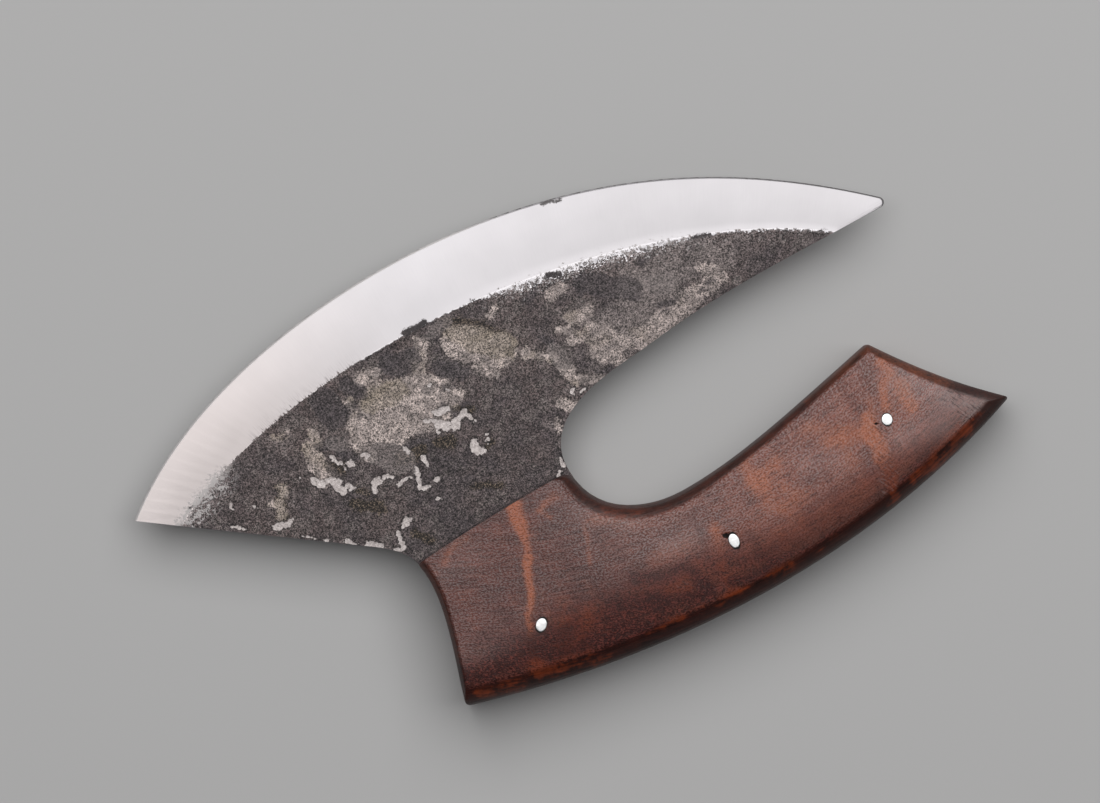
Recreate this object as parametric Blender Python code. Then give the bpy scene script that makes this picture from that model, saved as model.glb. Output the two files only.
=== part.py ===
"""Ulu kitchen knife: a forged crescent blade on a full tang, two wooden scales and three pins.

Metres, +Z up. The knife lies on its lower scale. +X runs along the chord of the cutting edge,
from the heel to the tip, and +Y points from the handle to the cutting edge. The blade is drawn
from its heel point. The handle is drawn in a frame of its own, whose origin is the front corner
of the scales on the heel side and whose +x runs along the handle.
"""

import math

import bmesh
import bpy
import numpy as np
from mathutils.geometry import intersect_line_line_2d

# Cutting edge, seen from above
EDGE_CHORD = 0.1874
BELLY_RISE = 0.0321
TIP_RADIUS = 0.0012

# Blade section
BLADE_THICKNESS = 0.0035
SHOULDER_THICKNESS = 0.0004
MICRO_BEVEL_WIDTH = 0.0004

# Ground bevel: how far it runs in along the heel edge, at the belly and along the spine
BEVEL_HEEL_RUN = 0.0108
BEVEL_BELLY_WIDTH = 0.0161
BEVEL_SPINE_RUN = 0.0152

# Neck, where the blade runs into the handle
NECK_ALONG = 0.0557
NECK_DROP = 0.0341
NECK_WIDTH = 0.0403
NECK_RISE = 0.0014
HEEL_FILLET_RISE = 0.0041
HEEL_FILLET_RUN = 0.0080

# Handle, seen from above
HANDLE_TILT = math.radians(6.8)
HANDLE_LENGTH = 0.1417
FRONT_DEPTH = 0.0335
FRONT_LEAN = 0.0064
FRONT_BOW = 0.0005
FINGER_DEPTH = 0.0154
PALM_SWELL = 0.0112
BUTT_SLANT = 0.0220
BUTT_DEPTH = 0.0265

# Handle section
TANG_RELIEF = 0.0002
GLUE_THICKNESS = 0.00025
GLUE_SETBACK = 0.0003
SCALE_THICKNESS = 0.0082
RELIEF_CLEARANCE = 0.0003

# Rounding of each side of the scales: how far it reaches in over the flat where the side
# starts and where it ends, going clockwise, and how far it reaches down
FRONT_ROUND = (0.0, 0.0, 0.0030)
FINGER_ROUND = (0.0031, 0.0014, 0.0035)
BUTT_ROUND = (0.0015, 0.0030, 0.0040)
PALM_ROUND = (0.0037, 0.0046, 0.0055)
HEEL_SIDE_ROUND = (0.0012, 0.0020, 0.0030)

# The rounding is an arc that stops short of the flat and leaves a crisp edge there
ROUND_TURN = math.radians(62)

# Corners of the handle, seen from above
THROAT_CORNER_RADIUS = 0.0030
BUTT_TOP_RADIUS = 0.0012
BUTT_END_RADIUS = 0.0005
PALM_CORNER_RADIUS = 0.0012
HEEL_CORNER_RADIUS = 0.0006

# Pins: the outer two are set in from the ends of the palm side, and the middle one drops
# below the line between them
PIN_RADIUS = 0.00125
PIN_CLEARANCE = 0.0001
PIN_SINK = 0.00005
FRONT_PIN_INSET = (0.0240, 0.0078)
REAR_PIN_INSET = (0.0268, 0.0094)
MIDDLE_PIN_DROP = 0.0059
MIDDLE_PIN_SHARE = 0.520

# Cuts run past what they cut by this much, and points nearer than the second are one
OVERRUN = 0.0050
SAME_POINT = 0.00001

# Cutting edge: its highest point and curve handles, as shares of the chord and the rise
BELLY_PLACE_SHARE = 0.495
HEEL_HANDLE_SHARES = (0.124, 0.740)
BELLY_HANDLE_SHARES = (0.152, 0.184)
TIP_HANDLE_SHARES = (0.838, 0.714)
GRIND_HANDLE_SHARES = (0.265, 0.700)

# Spine: shares of the way from the tip to the throat corner, along the chord and down
SPINE_TIP_SHARES = ((0.265, 0.090), (0.475, 0.125))
SPINE_MIDDLE_SHARES = (0.689, 0.303)
SPINE_THROAT_SHARES = ((0.772, 0.372), (1.026, 0.446))

# Finger side: its lowest place and its curve handles, as shares of the handle's length,
# with the first handle as a share of the finger depth
FINGER_LOW_SHARE = 0.430
FINGER_THROAT_SHARE = 0.800
FINGER_LOW_HANDLE_SHARES = (0.063, 0.110)
FINGER_BUTT_SHARES = (-0.153, -0.032)

# Curve handles of the other sides, as shares of the way between their corners, or for the
# palm side of the handle's length and the palm swell
BUTT_SHARES = ((0.290, 0.361), (0.620, 0.702))
PALM_SHARES = ((0.636, -1.674), (0.252, -0.946))
HEEL_SIDE_SHARES = ((0.220, 0.200), (1.420, 0.720))
HEEL_FILLET_SHARES = (0.46, 0.95)

# The flat of a scale has tighter corners than its base, by this share
FLAT_CORNER_SHARE = 0.5

# Mesh resolution
EDGE_STEPS = 36
TIP_STEPS = 5
SPINE_STEPS = 24
LONG_STEPS = 36
SHORT_STEPS = 16
FRONT_STEPS = 8
CORNER_STEPS = 6
ROUND_STEPS = 6
PIN_SIDES = 28
SMOOTH_ANGLE = math.radians(20)

# Corners of the handle, in its own frame
HEEL_CORNER = np.array((0.0, 0.0))
THROAT_CORNER = np.array((NECK_WIDTH, NECK_RISE))
PALM_CORNER = np.array((-FRONT_LEAN, -FRONT_DEPTH))
BUTT_END = PALM_CORNER + (HANDLE_LENGTH, 0.0)
BUTT_TOP = BUTT_END + (-BUTT_SLANT, BUTT_DEPTH)

# Pins, in the handle's frame
FRONT_PIN = PALM_CORNER + FRONT_PIN_INSET
REAR_PIN = BUTT_END + (-REAR_PIN_INSET[0], REAR_PIN_INSET[1])
MIDDLE_PIN = FRONT_PIN + (REAR_PIN - FRONT_PIN) * MIDDLE_PIN_SHARE - (0.0, MIDDLE_PIN_DROP)

# The handle's sides and the corners at their ends, clockwise from the front line
SIDE_ROUNDS = [FRONT_ROUND, FINGER_ROUND, BUTT_ROUND, PALM_ROUND, HEEL_SIDE_ROUND]
CORNER_RADII = [
    THROAT_CORNER_RADIUS,
    BUTT_TOP_RADIUS,
    BUTT_END_RADIUS,
    PALM_CORNER_RADIUS,
    HEEL_CORNER_RADIUS,
]

# Heights above the middle plane of the blade
BLADE_FACE = BLADE_THICKNESS / 2
TANG_FACE = BLADE_FACE - TANG_RELIEF
GLUE_FACE = TANG_FACE + GLUE_THICKNESS
SCALE_FACE = GLUE_FACE + SCALE_THICKNESS


def bezier(start, start_handle, end_handle, end, steps):
    """Points along a cubic curve, its two ends included."""
    t = np.linspace(0.0, 1.0, steps + 1)[:, None]
    first_half = (1 - t) ** 3 * np.array(start) + 3 * (1 - t) ** 2 * t * np.array(start_handle)
    return first_half + 3 * (1 - t) * t ** 2 * np.array(end_handle) + t ** 3 * np.array(end)


def unit(vector):
    return vector / np.linalg.norm(vector)


def distances(path):
    """Distance walked along a path up to each of its points."""
    steps = np.linalg.norm(np.diff(path, axis=0), axis=1)
    return np.concatenate(([0.0], np.cumsum(steps)))


def places_along(path, stops):
    """Points of a path at the given distances from its start."""
    walked = distances(path)
    return np.stack([np.interp(stops, walked, column) for column in path.T], axis=1)


def cut_back(path, start_cut, end_cut, steps):
    """Evenly spaced points of a path that is cut back at both ends."""
    length = distances(path)[-1]
    return places_along(path, np.linspace(start_cut, length - end_cut, steps + 1))


def opening_angle(corner, first, second):
    """Angle at a corner between the ways to two points."""
    cosine = np.dot(unit(first - corner), unit(second - corner))
    return math.acos(np.clip(cosine, -1.0, 1.0))


def corner_arc(start, corner, end, steps):
    """Round arc between two points equally far from a corner, without its two ends."""
    weight = math.sin(opening_angle(corner, start, end) / 2)
    t = np.linspace(0.0, 1.0, steps + 1)[1:-1, None]
    pull = 2 * t * (1 - t) * weight
    return ((1 - t) ** 2 * start + pull * corner + t ** 2 * end) / ((1 - t) ** 2 + pull + t ** 2)


def offset(path, start_inset, end_inset):
    """A path moved to its right by a changing inset, and run on straight past both ends."""
    direction = np.gradient(path, axis=0)
    direction /= np.linalg.norm(direction, axis=1)[:, None]
    inset = np.linspace(start_inset, end_inset, len(path))[:, None]
    moved = path + inset * np.stack([direction[:, 1], -direction[:, 0]], axis=1)
    before = moved[0] + unit(moved[0] - moved[1]) * OVERRUN
    beyond = moved[-1] + unit(moved[-1] - moved[-2]) * OVERRUN
    return np.vstack([before, moved, beyond])


def without_repeats(path):
    """A path without the points that lie on the point before them."""
    steps = np.linalg.norm(np.diff(path, axis=0), axis=1)
    return path[np.concatenate(([True], steps > SAME_POINT))]


def cut_at_crossing(first, second):
    """Two paths cut back to the point where the first one runs into the second."""
    for i in reversed(range(len(first) - 1)):
        for j in range(len(second) - 1):
            crossing = intersect_line_line_2d(first[i], first[i + 1], second[j], second[j + 1])
            if crossing is not None:
                cut_first = np.vstack([crossing, first[i::-1]])
                cut_second = np.vstack([crossing, second[j + 1:]])
                return without_repeats(cut_first)[::-1], without_repeats(cut_second)
    raise ValueError("two sides of the handle don't meet")


def in_knife_frame(points):
    """Points of the handle's frame, in the frame of the whole knife."""
    cosine = math.cos(HANDLE_TILT)
    sine = math.sin(HANDLE_TILT)
    turn = np.array(((cosine, sine), (-sine, cosine)))
    return np.array(points) @ turn + (NECK_ALONG, -NECK_DROP)


def front_line():
    """The slightly bowed line where the scales end on the blade, from the heel to the throat."""
    way = THROAT_CORNER - HEEL_CORNER
    lift = unit(np.array((-way[1], way[0]))) * FRONT_BOW * 4 / 3
    first, second = HEEL_CORNER + way / 3, HEEL_CORNER + way * 2 / 3
    return bezier(HEEL_CORNER, first + lift, second + lift, THROAT_CORNER, FRONT_STEPS)


def finger_side():
    """The hollow side that the fingers reach through, from the throat to the butt."""
    lowest = np.array((HANDLE_LENGTH * FINGER_LOW_SHARE, -FINGER_DEPTH))
    throat_handle = THROAT_CORNER - (0.0, FINGER_DEPTH * FINGER_THROAT_SHARE)
    before_lowest = lowest - (HANDLE_LENGTH * FINGER_LOW_HANDLE_SHARES[0], 0.0)
    after_lowest = lowest + (HANDLE_LENGTH * FINGER_LOW_HANDLE_SHARES[1], 0.0)
    butt_handle = BUTT_TOP + HANDLE_LENGTH * np.array(FINGER_BUTT_SHARES)
    throat_part = bezier(THROAT_CORNER, throat_handle, before_lowest, lowest, SHORT_STEPS)
    butt_part = bezier(lowest, after_lowest, butt_handle, BUTT_TOP, SHORT_STEPS)
    return np.vstack([throat_part, butt_part[1:]])


def side_between(start, end, shares, steps):
    """A curved side whose handles lie at shares of the way from its start to its end."""
    first, second = start + (end - start) * shares
    return bezier(start, first, second, end, steps)


def palm_side():
    """The swelling side that fills the palm, from the butt end to the palm corner."""
    size = np.array((HANDLE_LENGTH, PALM_SWELL))
    butt_handle, front_handle = PALM_CORNER + size * PALM_SHARES
    return bezier(BUTT_END, butt_handle, front_handle, PALM_CORNER, LONG_STEPS)


def handle_sides():
    """The five sides of the handle, clockwise from its front line."""
    return [
        front_line(),
        finger_side(),
        side_between(BUTT_TOP, BUTT_END, BUTT_SHARES, SHORT_STEPS),
        palm_side(),
        side_between(PALM_CORNER, HEEL_CORNER, HEEL_SIDE_SHARES, SHORT_STEPS),
    ]


def handle_outline(rounds, reach, radii):
    """Each side of the handle, moved in by a share of its rounding, and the corner at its end.

    The points are in the knife's frame, and their number doesn't change with the share.
    """
    sides = []
    for side, (start_width, end_width, _) in zip(handle_sides(), rounds):
        sides.append(offset(side, start_width * reach, end_width * reach))
    following = [1, 2, 3, 4, 0]
    for i, after in enumerate(following):
        sides[i], sides[after] = cut_at_crossing(sides[i], sides[after])
    cuts = []
    for i, after in enumerate(following):
        opening = opening_angle(sides[i][-1], sides[i][-2], sides[after][1])
        cuts.append(radii[i] / math.tan(opening / 2))
    steps = [FRONT_STEPS, LONG_STEPS, SHORT_STEPS, LONG_STEPS, SHORT_STEPS]
    outline = []
    for i, after in enumerate(following):
        side = cut_back(sides[i], cuts[i - 1], cuts[i], steps[i])
        arc = np.empty((0, 2))
        if radii[i] > 0:
            arc_end = places_along(sides[after], [cuts[i]])[0]
            arc = corner_arc(side[-1], sides[i][-1], arc_end, CORNER_STEPS)
        outline.append((in_knife_frame(side), in_knife_frame(arc)))
    return outline


def cutting_edge():
    """The cutting edge, from the heel point to where it would meet the spine."""
    belly = np.array((EDGE_CHORD * BELLY_PLACE_SHARE, BELLY_RISE))
    size = np.array((EDGE_CHORD, BELLY_RISE))
    heel_handle = size * HEEL_HANDLE_SHARES
    before_belly = belly - (EDGE_CHORD * BELLY_HANDLE_SHARES[0], 0.0)
    after_belly = belly + (EDGE_CHORD * BELLY_HANDLE_SHARES[1], 0.0)
    tip_handle = size * TIP_HANDLE_SHARES
    heel_half = bezier((0.0, 0.0), heel_handle, before_belly, belly, EDGE_STEPS)
    tip_half = bezier(belly, after_belly, tip_handle, (EDGE_CHORD, 0.0), EDGE_STEPS)
    return np.vstack([heel_half, tip_half[1:]])


def spine():
    """The spine and the throat, from where the spine would meet the cutting edge."""
    tip = np.array((EDGE_CHORD, 0.0))
    throat = in_knife_frame(THROAT_CORNER)
    way = throat - tip
    tip_handle, before_middle = tip + way * SPINE_TIP_SHARES
    middle = tip + way * SPINE_MIDDLE_SHARES
    after_middle, throat_handle = tip + way * SPINE_THROAT_SHARES
    long_part = bezier(tip, tip_handle, before_middle, middle, SPINE_STEPS)
    throat_part = bezier(middle, after_middle, throat_handle, throat, SPINE_STEPS)
    return np.vstack([long_part, throat_part[1:]])


def heel_edge():
    """The straight heel edge, from the heel point, and its fillet into the handle."""
    front = in_knife_frame(HEEL_CORNER)
    before_front = in_knife_frame(handle_sides()[-1][-2])
    fillet_corner = front + unit(front - before_front) * HEEL_FILLET_RISE
    fillet_start = fillet_corner - unit(fillet_corner) * HEEL_FILLET_RUN
    first_handle = fillet_start + (fillet_corner - fillet_start) * HEEL_FILLET_SHARES[0]
    second_handle = front + (fillet_corner - front) * HEEL_FILLET_SHARES[1]
    fillet = bezier(fillet_start, first_handle, second_handle, front, SHORT_STEPS)
    return np.vstack([(0.0, 0.0), fillet])


def rounded_tip(edge, back):
    """The cutting edge carried round the tip, and how far down the spine the tip reaches."""
    cut = TIP_RADIUS / math.tan(opening_angle(edge[-1], edge[-2], back[1]) / 2)
    edge_part = cut_back(edge, 0.0, cut, 2 * EDGE_STEPS)
    tip_end = places_along(back, [cut])
    arc = corner_arc(edge_part[-1], edge[-1], tip_end[0], TIP_STEPS)
    return np.vstack([edge_part, arc, tip_end]), cut


def grind_line(heel_place, spine_place, stations):
    """Where the bevel meets the flat of the blade, with one point for each station."""
    crest = BELLY_RISE - BEVEL_BELLY_WIDTH
    handle_height = (8 * crest - heel_place[1] - spine_place[1]) / 6
    heel_handle = (EDGE_CHORD * GRIND_HANDLE_SHARES[0], handle_height)
    tip_handle = (EDGE_CHORD * GRIND_HANDLE_SHARES[1], handle_height)
    line = bezier(heel_place, heel_handle, tip_handle, spine_place, 2 * EDGE_STEPS)
    return places_along(line, stations * distances(line)[-1])


def blade_loops():
    """Plan points of the blade: cutting edge, bevel shoulder, grind line and the rest."""
    edge = cutting_edge()
    back = spine()
    heel = heel_edge()
    apex, tip_reach = rounded_tip(edge, back)
    back_length = distances(back)[-1]
    heel_length = distances(heel)[-1]
    heel_place = places_along(heel, [BEVEL_HEEL_RUN])[0]
    spine_place = places_along(back, [BEVEL_SPINE_RUN])[0]
    walked = distances(apex)
    grind = grind_line(heel_place, spine_place, walked / walked[-1])
    inward = grind - apex
    inward /= np.linalg.norm(inward, axis=1)[:, None]
    shoulder = apex + inward * MICRO_BEVEL_WIDTH
    lower_back = cut_back(back, BEVEL_SPINE_RUN, 0.0, 2 * SPINE_STEPS)[1:]
    tang_radii = [0.0, *CORNER_RADII[1:4], 0.0]
    tang = [np.vstack(pair) for pair in handle_outline(SIDE_ROUNDS, 0.0, tang_radii)[1:]]
    heel_back = places_along(heel, np.linspace(heel_length, BEVEL_HEEL_RUN, 3 * SHORT_STEPS))
    rest = np.vstack([lower_back, np.vstack(tang)[1:], heel_back[1:-1]])
    return apex, shoulder, grind, rest


def add_loop(bm, points, height):
    """Vertices of one level loop or path."""
    return [bm.verts.new((x, y, height)) for x, y in points]


def bridge(bm, first, second, material_index=0):
    """Quads between two open rows of vertices."""
    for i in range(len(first) - 1):
        face = bm.faces.new((first[i], first[i + 1], second[i + 1], second[i]))
        face.material_index = material_index


def blade_mesh():
    """The forging at full thickness, with its bevels ground down to a sharp edge."""
    apex_points, shoulder_points, grind_points, rest_points = blade_loops()
    bm = bmesh.new()
    apex = add_loop(bm, apex_points, 0.0)
    walls = []
    shoulders = []
    for side in (1, -1):
        shoulder = add_loop(bm, shoulder_points, side * SHOULDER_THICKNESS / 2)
        grind = add_loop(bm, grind_points, side * BLADE_FACE)
        rest = add_loop(bm, rest_points, side * BLADE_FACE)
        bridge(bm, apex, shoulder, 1)
        bridge(bm, shoulder, grind, 1)
        bm.faces.new(grind + rest)
        shoulders.append(shoulder)
        walls.append([grind[-1]] + rest + [grind[0]])
    bridge(bm, walls[0], walls[1])
    for end in (0, -1):
        upper, lower = shoulders[0][end], shoulders[1][end]
        wall_end = -1 if end == 0 else 0
        bm.faces.new((apex[end], upper, lower))
        bm.faces.new((upper, walls[0][wall_end], walls[1][wall_end], lower))
    return bm


def add_ring(bm, outline, heights, side):
    """One closed ring round the handle, whose height slides from side to side in the corners."""
    ring = []
    for i, (line, arc) in enumerate(outline):
        next_height = heights[(i + 1) % len(heights)]
        slide = np.linspace(heights[i], next_height, len(arc) + 2)[1:-1]
        ring += add_loop(bm, line, side * heights[i])
        ring += [bm.verts.new((x, y, side * height)) for (x, y), height in zip(arc, slide)]
    return ring


def close_rings(bm, rings):
    """The walls between a row of closed rings, and the flat faces at its two ends."""
    for lower, upper in zip(rings, rings[1:]):
        bridge(bm, lower + lower[:1], upper + upper[:1])
    bm.faces.new(rings[0])
    bm.faces.new(rings[-1])


def scale_mesh(side):
    """One scale, lofted from the glue line up its sides and over its rounded edges."""
    bm = bmesh.new()
    base = handle_outline(SIDE_ROUNDS, 0.0, CORNER_RADII)
    rings = [add_ring(bm, base, [GLUE_FACE] * len(base), side)]
    for turn in np.linspace(0.0, ROUND_TURN, ROUND_STEPS + 1):
        reach = (1 - math.cos(turn)) / (1 - math.cos(ROUND_TURN))
        rise = math.sin(turn) / math.sin(ROUND_TURN)
        tightening = 1 - (1 - FLAT_CORNER_SHARE) * reach
        outline = handle_outline(SIDE_ROUNDS, reach, [r * tightening for r in CORNER_RADII])
        heights = [SCALE_FACE - depth * (1 - rise) for _, _, depth in SIDE_ROUNDS]
        rings.append(add_ring(bm, outline, heights, side))
    close_rings(bm, rings)
    return bm


def glue_mesh(side):
    """The thin layer of epoxy between the tang and a scale, set back from their edges."""
    bm = bmesh.new()
    setback = [(GLUE_SETBACK, GLUE_SETBACK, 0.0)] * len(SIDE_ROUNDS)
    outline = handle_outline(setback, 1.0, CORNER_RADII)
    close_rings(bm, [
        add_ring(bm, outline, [TANG_FACE] * len(outline), side),
        add_ring(bm, outline, [GLUE_FACE] * len(outline), side),
    ])
    return bm


def rod_mesh(radius, length):
    """A round rod along Z, centred on its middle."""
    bm = bmesh.new()
    bmesh.ops.create_cone(
        bm, cap_ends=True, segments=PIN_SIDES, radius1=radius, radius2=radius, depth=length
    )
    return bm


def relief_mesh(side):
    """The block that thins one face of the tang, from just before the scales' front line back."""
    front = offset(front_line(), -RELIEF_CLEARANCE, -RELIEF_CLEARANCE)
    left, right = -FRONT_LEAN - OVERRUN, HANDLE_LENGTH
    low = -FRONT_DEPTH - PALM_SWELL - OVERRUN
    corners = ((right, front[-1][1]), (right, low), (left, low), (left, front[0][1]))
    outline = in_knife_frame(np.vstack([front, corners]))
    bm = bmesh.new()
    close_rings(bm, [
        add_loop(bm, outline, side * TANG_FACE),
        add_loop(bm, outline, side * (BLADE_FACE + OVERRUN)),
    ])
    return bm


def material(name, colour, roughness, metallic):
    made = bpy.data.materials.new(name)
    made.use_nodes = True
    shader = made.node_tree.nodes["Principled BSDF"]
    shader.inputs["Base Color"].default_value = (*colour, 1.0)
    shader.inputs["Roughness"].default_value = roughness
    shader.inputs["Metallic"].default_value = metallic
    made.diffuse_color = (*colour, 1.0)
    return made


def add_object(name, bm, materials, parent):
    """A named object from a finished mesh, its faces turned out and its round sides smooth."""
    bmesh.ops.recalc_face_normals(bm, faces=bm.faces)
    mesh = bpy.data.meshes.new(name)
    bm.to_mesh(mesh)
    bm.free()
    mesh.shade_smooth()
    mesh.set_sharp_from_angle(angle=SMOOTH_ANGLE)
    for made in materials:
        mesh.materials.append(made)
    added = bpy.data.objects.new(name, mesh)
    added.parent = parent
    bpy.context.scene.collection.objects.link(added)
    return added


def add_cutter(name, bm, parent):
    cutter = add_object(name, bm, [], parent)
    cutter.hide_render = True
    cutter.display_type = "WIRE"
    return cutter


def cut(target, cutter):
    modifier = target.modifiers.new(cutter.name, "BOOLEAN")
    modifier.operation = "DIFFERENCE"
    modifier.solver = "EXACT"
    modifier.object = cutter


def add_knife_frame():
    """An empty that sets the knife down on its lower scale, centred over the origin."""
    apex, _, _, rest = blade_loops()
    outline = np.vstack([apex, rest])
    centre = (outline.min(axis=0) + outline.max(axis=0)) / 2
    knife = bpy.data.objects.new("knife", None)
    knife.location = (-centre[0], -centre[1], SCALE_FACE)
    bpy.context.scene.collection.objects.link(knife)
    return knife


def add_pins(knife, pin_metal):
    """The three pins, each with the cutter that bores its hole."""
    pin_length = 2 * (SCALE_FACE - PIN_SINK)
    bore_length = 2 * (SCALE_FACE + OVERRUN)
    bores = []
    for name, place in (("front", FRONT_PIN), ("middle", MIDDLE_PIN), ("rear", REAR_PIN)):
        pin = add_object(f"{name}_pin", rod_mesh(PIN_RADIUS, pin_length), [pin_metal], knife)
        bore = add_cutter(f"{name}_bore", rod_mesh(PIN_RADIUS + PIN_CLEARANCE, bore_length), knife)
        pin.location = bore.location = (*in_knife_frame(place), 0.0)
        bores.append(bore)
    return bores


def build():
    for old in list(bpy.data.objects):
        bpy.data.objects.remove(old, do_unlink=True)
    forged = material("forged_steel", (0.075, 0.068, 0.068), 0.55, 0.85)
    ground = material("ground_steel", (0.62, 0.60, 0.60), 0.32, 1.0)
    wood = material("curly_wood", (0.17, 0.045, 0.020), 0.35, 0.0)
    epoxy = material("epoxy", (0.05, 0.03, 0.02), 0.30, 0.0)
    pin_metal = material("pin_metal", (0.80, 0.80, 0.80), 0.30, 1.0)

    knife = add_knife_frame()
    bores = add_pins(knife, pin_metal)
    blade = add_object("blade", blade_mesh(), [forged, ground], knife)
    bored = [blade]
    for name, side in (("upper", 1), ("lower", -1)):
        cut(blade, add_cutter(f"{name}_tang_relief", relief_mesh(side), knife))
        bored.append(add_object(f"{name}_scale", scale_mesh(side), [wood], knife))
        bored.append(add_object(f"{name}_glue_line", glue_mesh(side), [epoxy], knife))
    for piece in bored:
        for bore in bores:
            cut(piece, bore)


build()
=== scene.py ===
"""Looks of the ulu knife: a forged blade, two curly wood scales, three pins and the glue."""
import math

import bmesh
import bpy
import numpy as np
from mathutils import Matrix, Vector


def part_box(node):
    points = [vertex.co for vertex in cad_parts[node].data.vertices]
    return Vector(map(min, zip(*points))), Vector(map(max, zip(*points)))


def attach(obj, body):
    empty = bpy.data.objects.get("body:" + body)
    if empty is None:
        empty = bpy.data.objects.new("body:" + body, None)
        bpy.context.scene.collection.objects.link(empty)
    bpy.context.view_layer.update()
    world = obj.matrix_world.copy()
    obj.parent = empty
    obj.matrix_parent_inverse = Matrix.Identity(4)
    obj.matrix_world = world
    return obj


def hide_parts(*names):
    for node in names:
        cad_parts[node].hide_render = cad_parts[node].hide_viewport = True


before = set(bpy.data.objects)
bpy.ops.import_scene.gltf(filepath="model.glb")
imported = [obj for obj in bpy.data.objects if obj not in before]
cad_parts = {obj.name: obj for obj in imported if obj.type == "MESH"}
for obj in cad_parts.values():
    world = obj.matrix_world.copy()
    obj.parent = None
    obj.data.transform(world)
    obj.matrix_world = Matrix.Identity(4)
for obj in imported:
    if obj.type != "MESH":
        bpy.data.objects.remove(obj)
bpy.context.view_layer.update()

# Lengths are in millimetres here, and the meshes are in metres.
MM = 0.001
MIDDLE = 10.0
BLADE_HALF = 1.75
SCALE_TOP = 10.0
TOP_LEVEL = 19.9
TANG_SIDE = 1.81
PIN_CLEAR = 1.6
FLAT_LEVEL = 0.9999
FACE_KINDS = (("flat", FLAT_LEVEL), ("bevel", 0.97), ("lip", 0.5), ("wall", -1.0))
ARRIS_CHAMFER = 0.22
ARRIS_HEIGHT = 0.6
TOUCH = 0.01
BLADE_CUTS = 1.0
SCALE_CUTS = 1.1
SIDE_CUTS = 1.6
# The stage, in metres and degrees. The lamp is placed from the middle of the view.
FLOOR_HALF = 6.0
FLOOR_COLOUR = (0.62, 0.615, 0.61)
WORLD_COLOUR = (0.1, 0.1, 0.103, 1.0)
TURN = -22.9
VIEW_MIDDLE = np.array((0.00089, 0.00822, 0.012))
CAMERA_HEIGHT = 1.5
LENS = 216.0
SENSOR_WIDTH = 36.0
LAMP_WIDTH = 2.7
LAMP_DEPTH = 2.8
LAMP_STRENGTH = 1.9
LAMP_UP = 1.27
LAMP_RIGHT = 0.20
LAMP_HEIGHT = 1.8

# Marks on the upper flat in the knife's own frame, which starts at the heel's corner and has its
# x along the chord. A row is a line from one point to another and the mark's half width.
PALE_SPOTS = (
    (84.1, 8.6, 91.8, 3.4, 4.1), (86.1, 1.8, 88.1, -0.5, 2), (75.7, 12.2, 72.3, 5.2, 1.8),
    (61.6, 3.3, 75.1, -0.9, 4.5), (63.6, -1.9, 73.9, -3.8, 3.9), (56.3, 0.1, 63.1, -4.7, 3.4),
    (53.9, -3.3, 54.7, -7.1, 2), (76.4, 2, 78.8, -1.5, 2), (69.5, 4.4, 74.1, 2.5, 2.3),
    (59.8, 9.5, 63.2, 9.5, 1.8), (45.3, 2.6, 45.5, 0.3, 1.6), (43.2, 0, 43.3, -3.7, 1.8),
    (43.1, -4.4, 44, -8, 2), (33.7, -6.1, 33.6, -7.5, 1.1), (30.1, -9.3, 30.9, -9.8, 1.1),
    (32.5, -9.5, 31.8, -12.2, 1.1), (36.5, 5.3, 36.9, 4.9, 0.8), (38.4, 3.8, 40.7, 5.3, 0.7),
    (97.3, 0.3, 102.1, -2.9, 1.4), (106, 2.1, 108.6, 1.8, 0.9), (108.3, -1.1, 112.4, -1.4, 1.8),
    (113, -0.1, 117.8, -5.1, 2), (112.5, -5.8, 122.1, -6.4, 2.5), (103.4, -5.7, 105, -9.6, 1.4),
    (105, -9.6, 111.9, -12, 1.2), (111.9, -12, 116.7, -11.1, 1.1), (123.6, -6.6, 132.8, -4.5, 3.2),
    (136, -2.9, 143.9, -0.4, 2.5), (140.9, 2.9, 144, 1.1, 1.4), (99.7, -12.8, 101.7, -15.1, 1.6),
    (97, -16.8, 97.6, -19, 0.9), (107.7, 10.3, 109.9, 11.3, 1.4), (92.3, 11.8, 94.2, 12.8, 1.1),
    (110.1, 3.6, 113.3, 4.2, 2), (115, -6.9, 116.2, -9.9, 1.4), (55.7, 5.8, 55.4, 1.5, 0.9),
)
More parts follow.
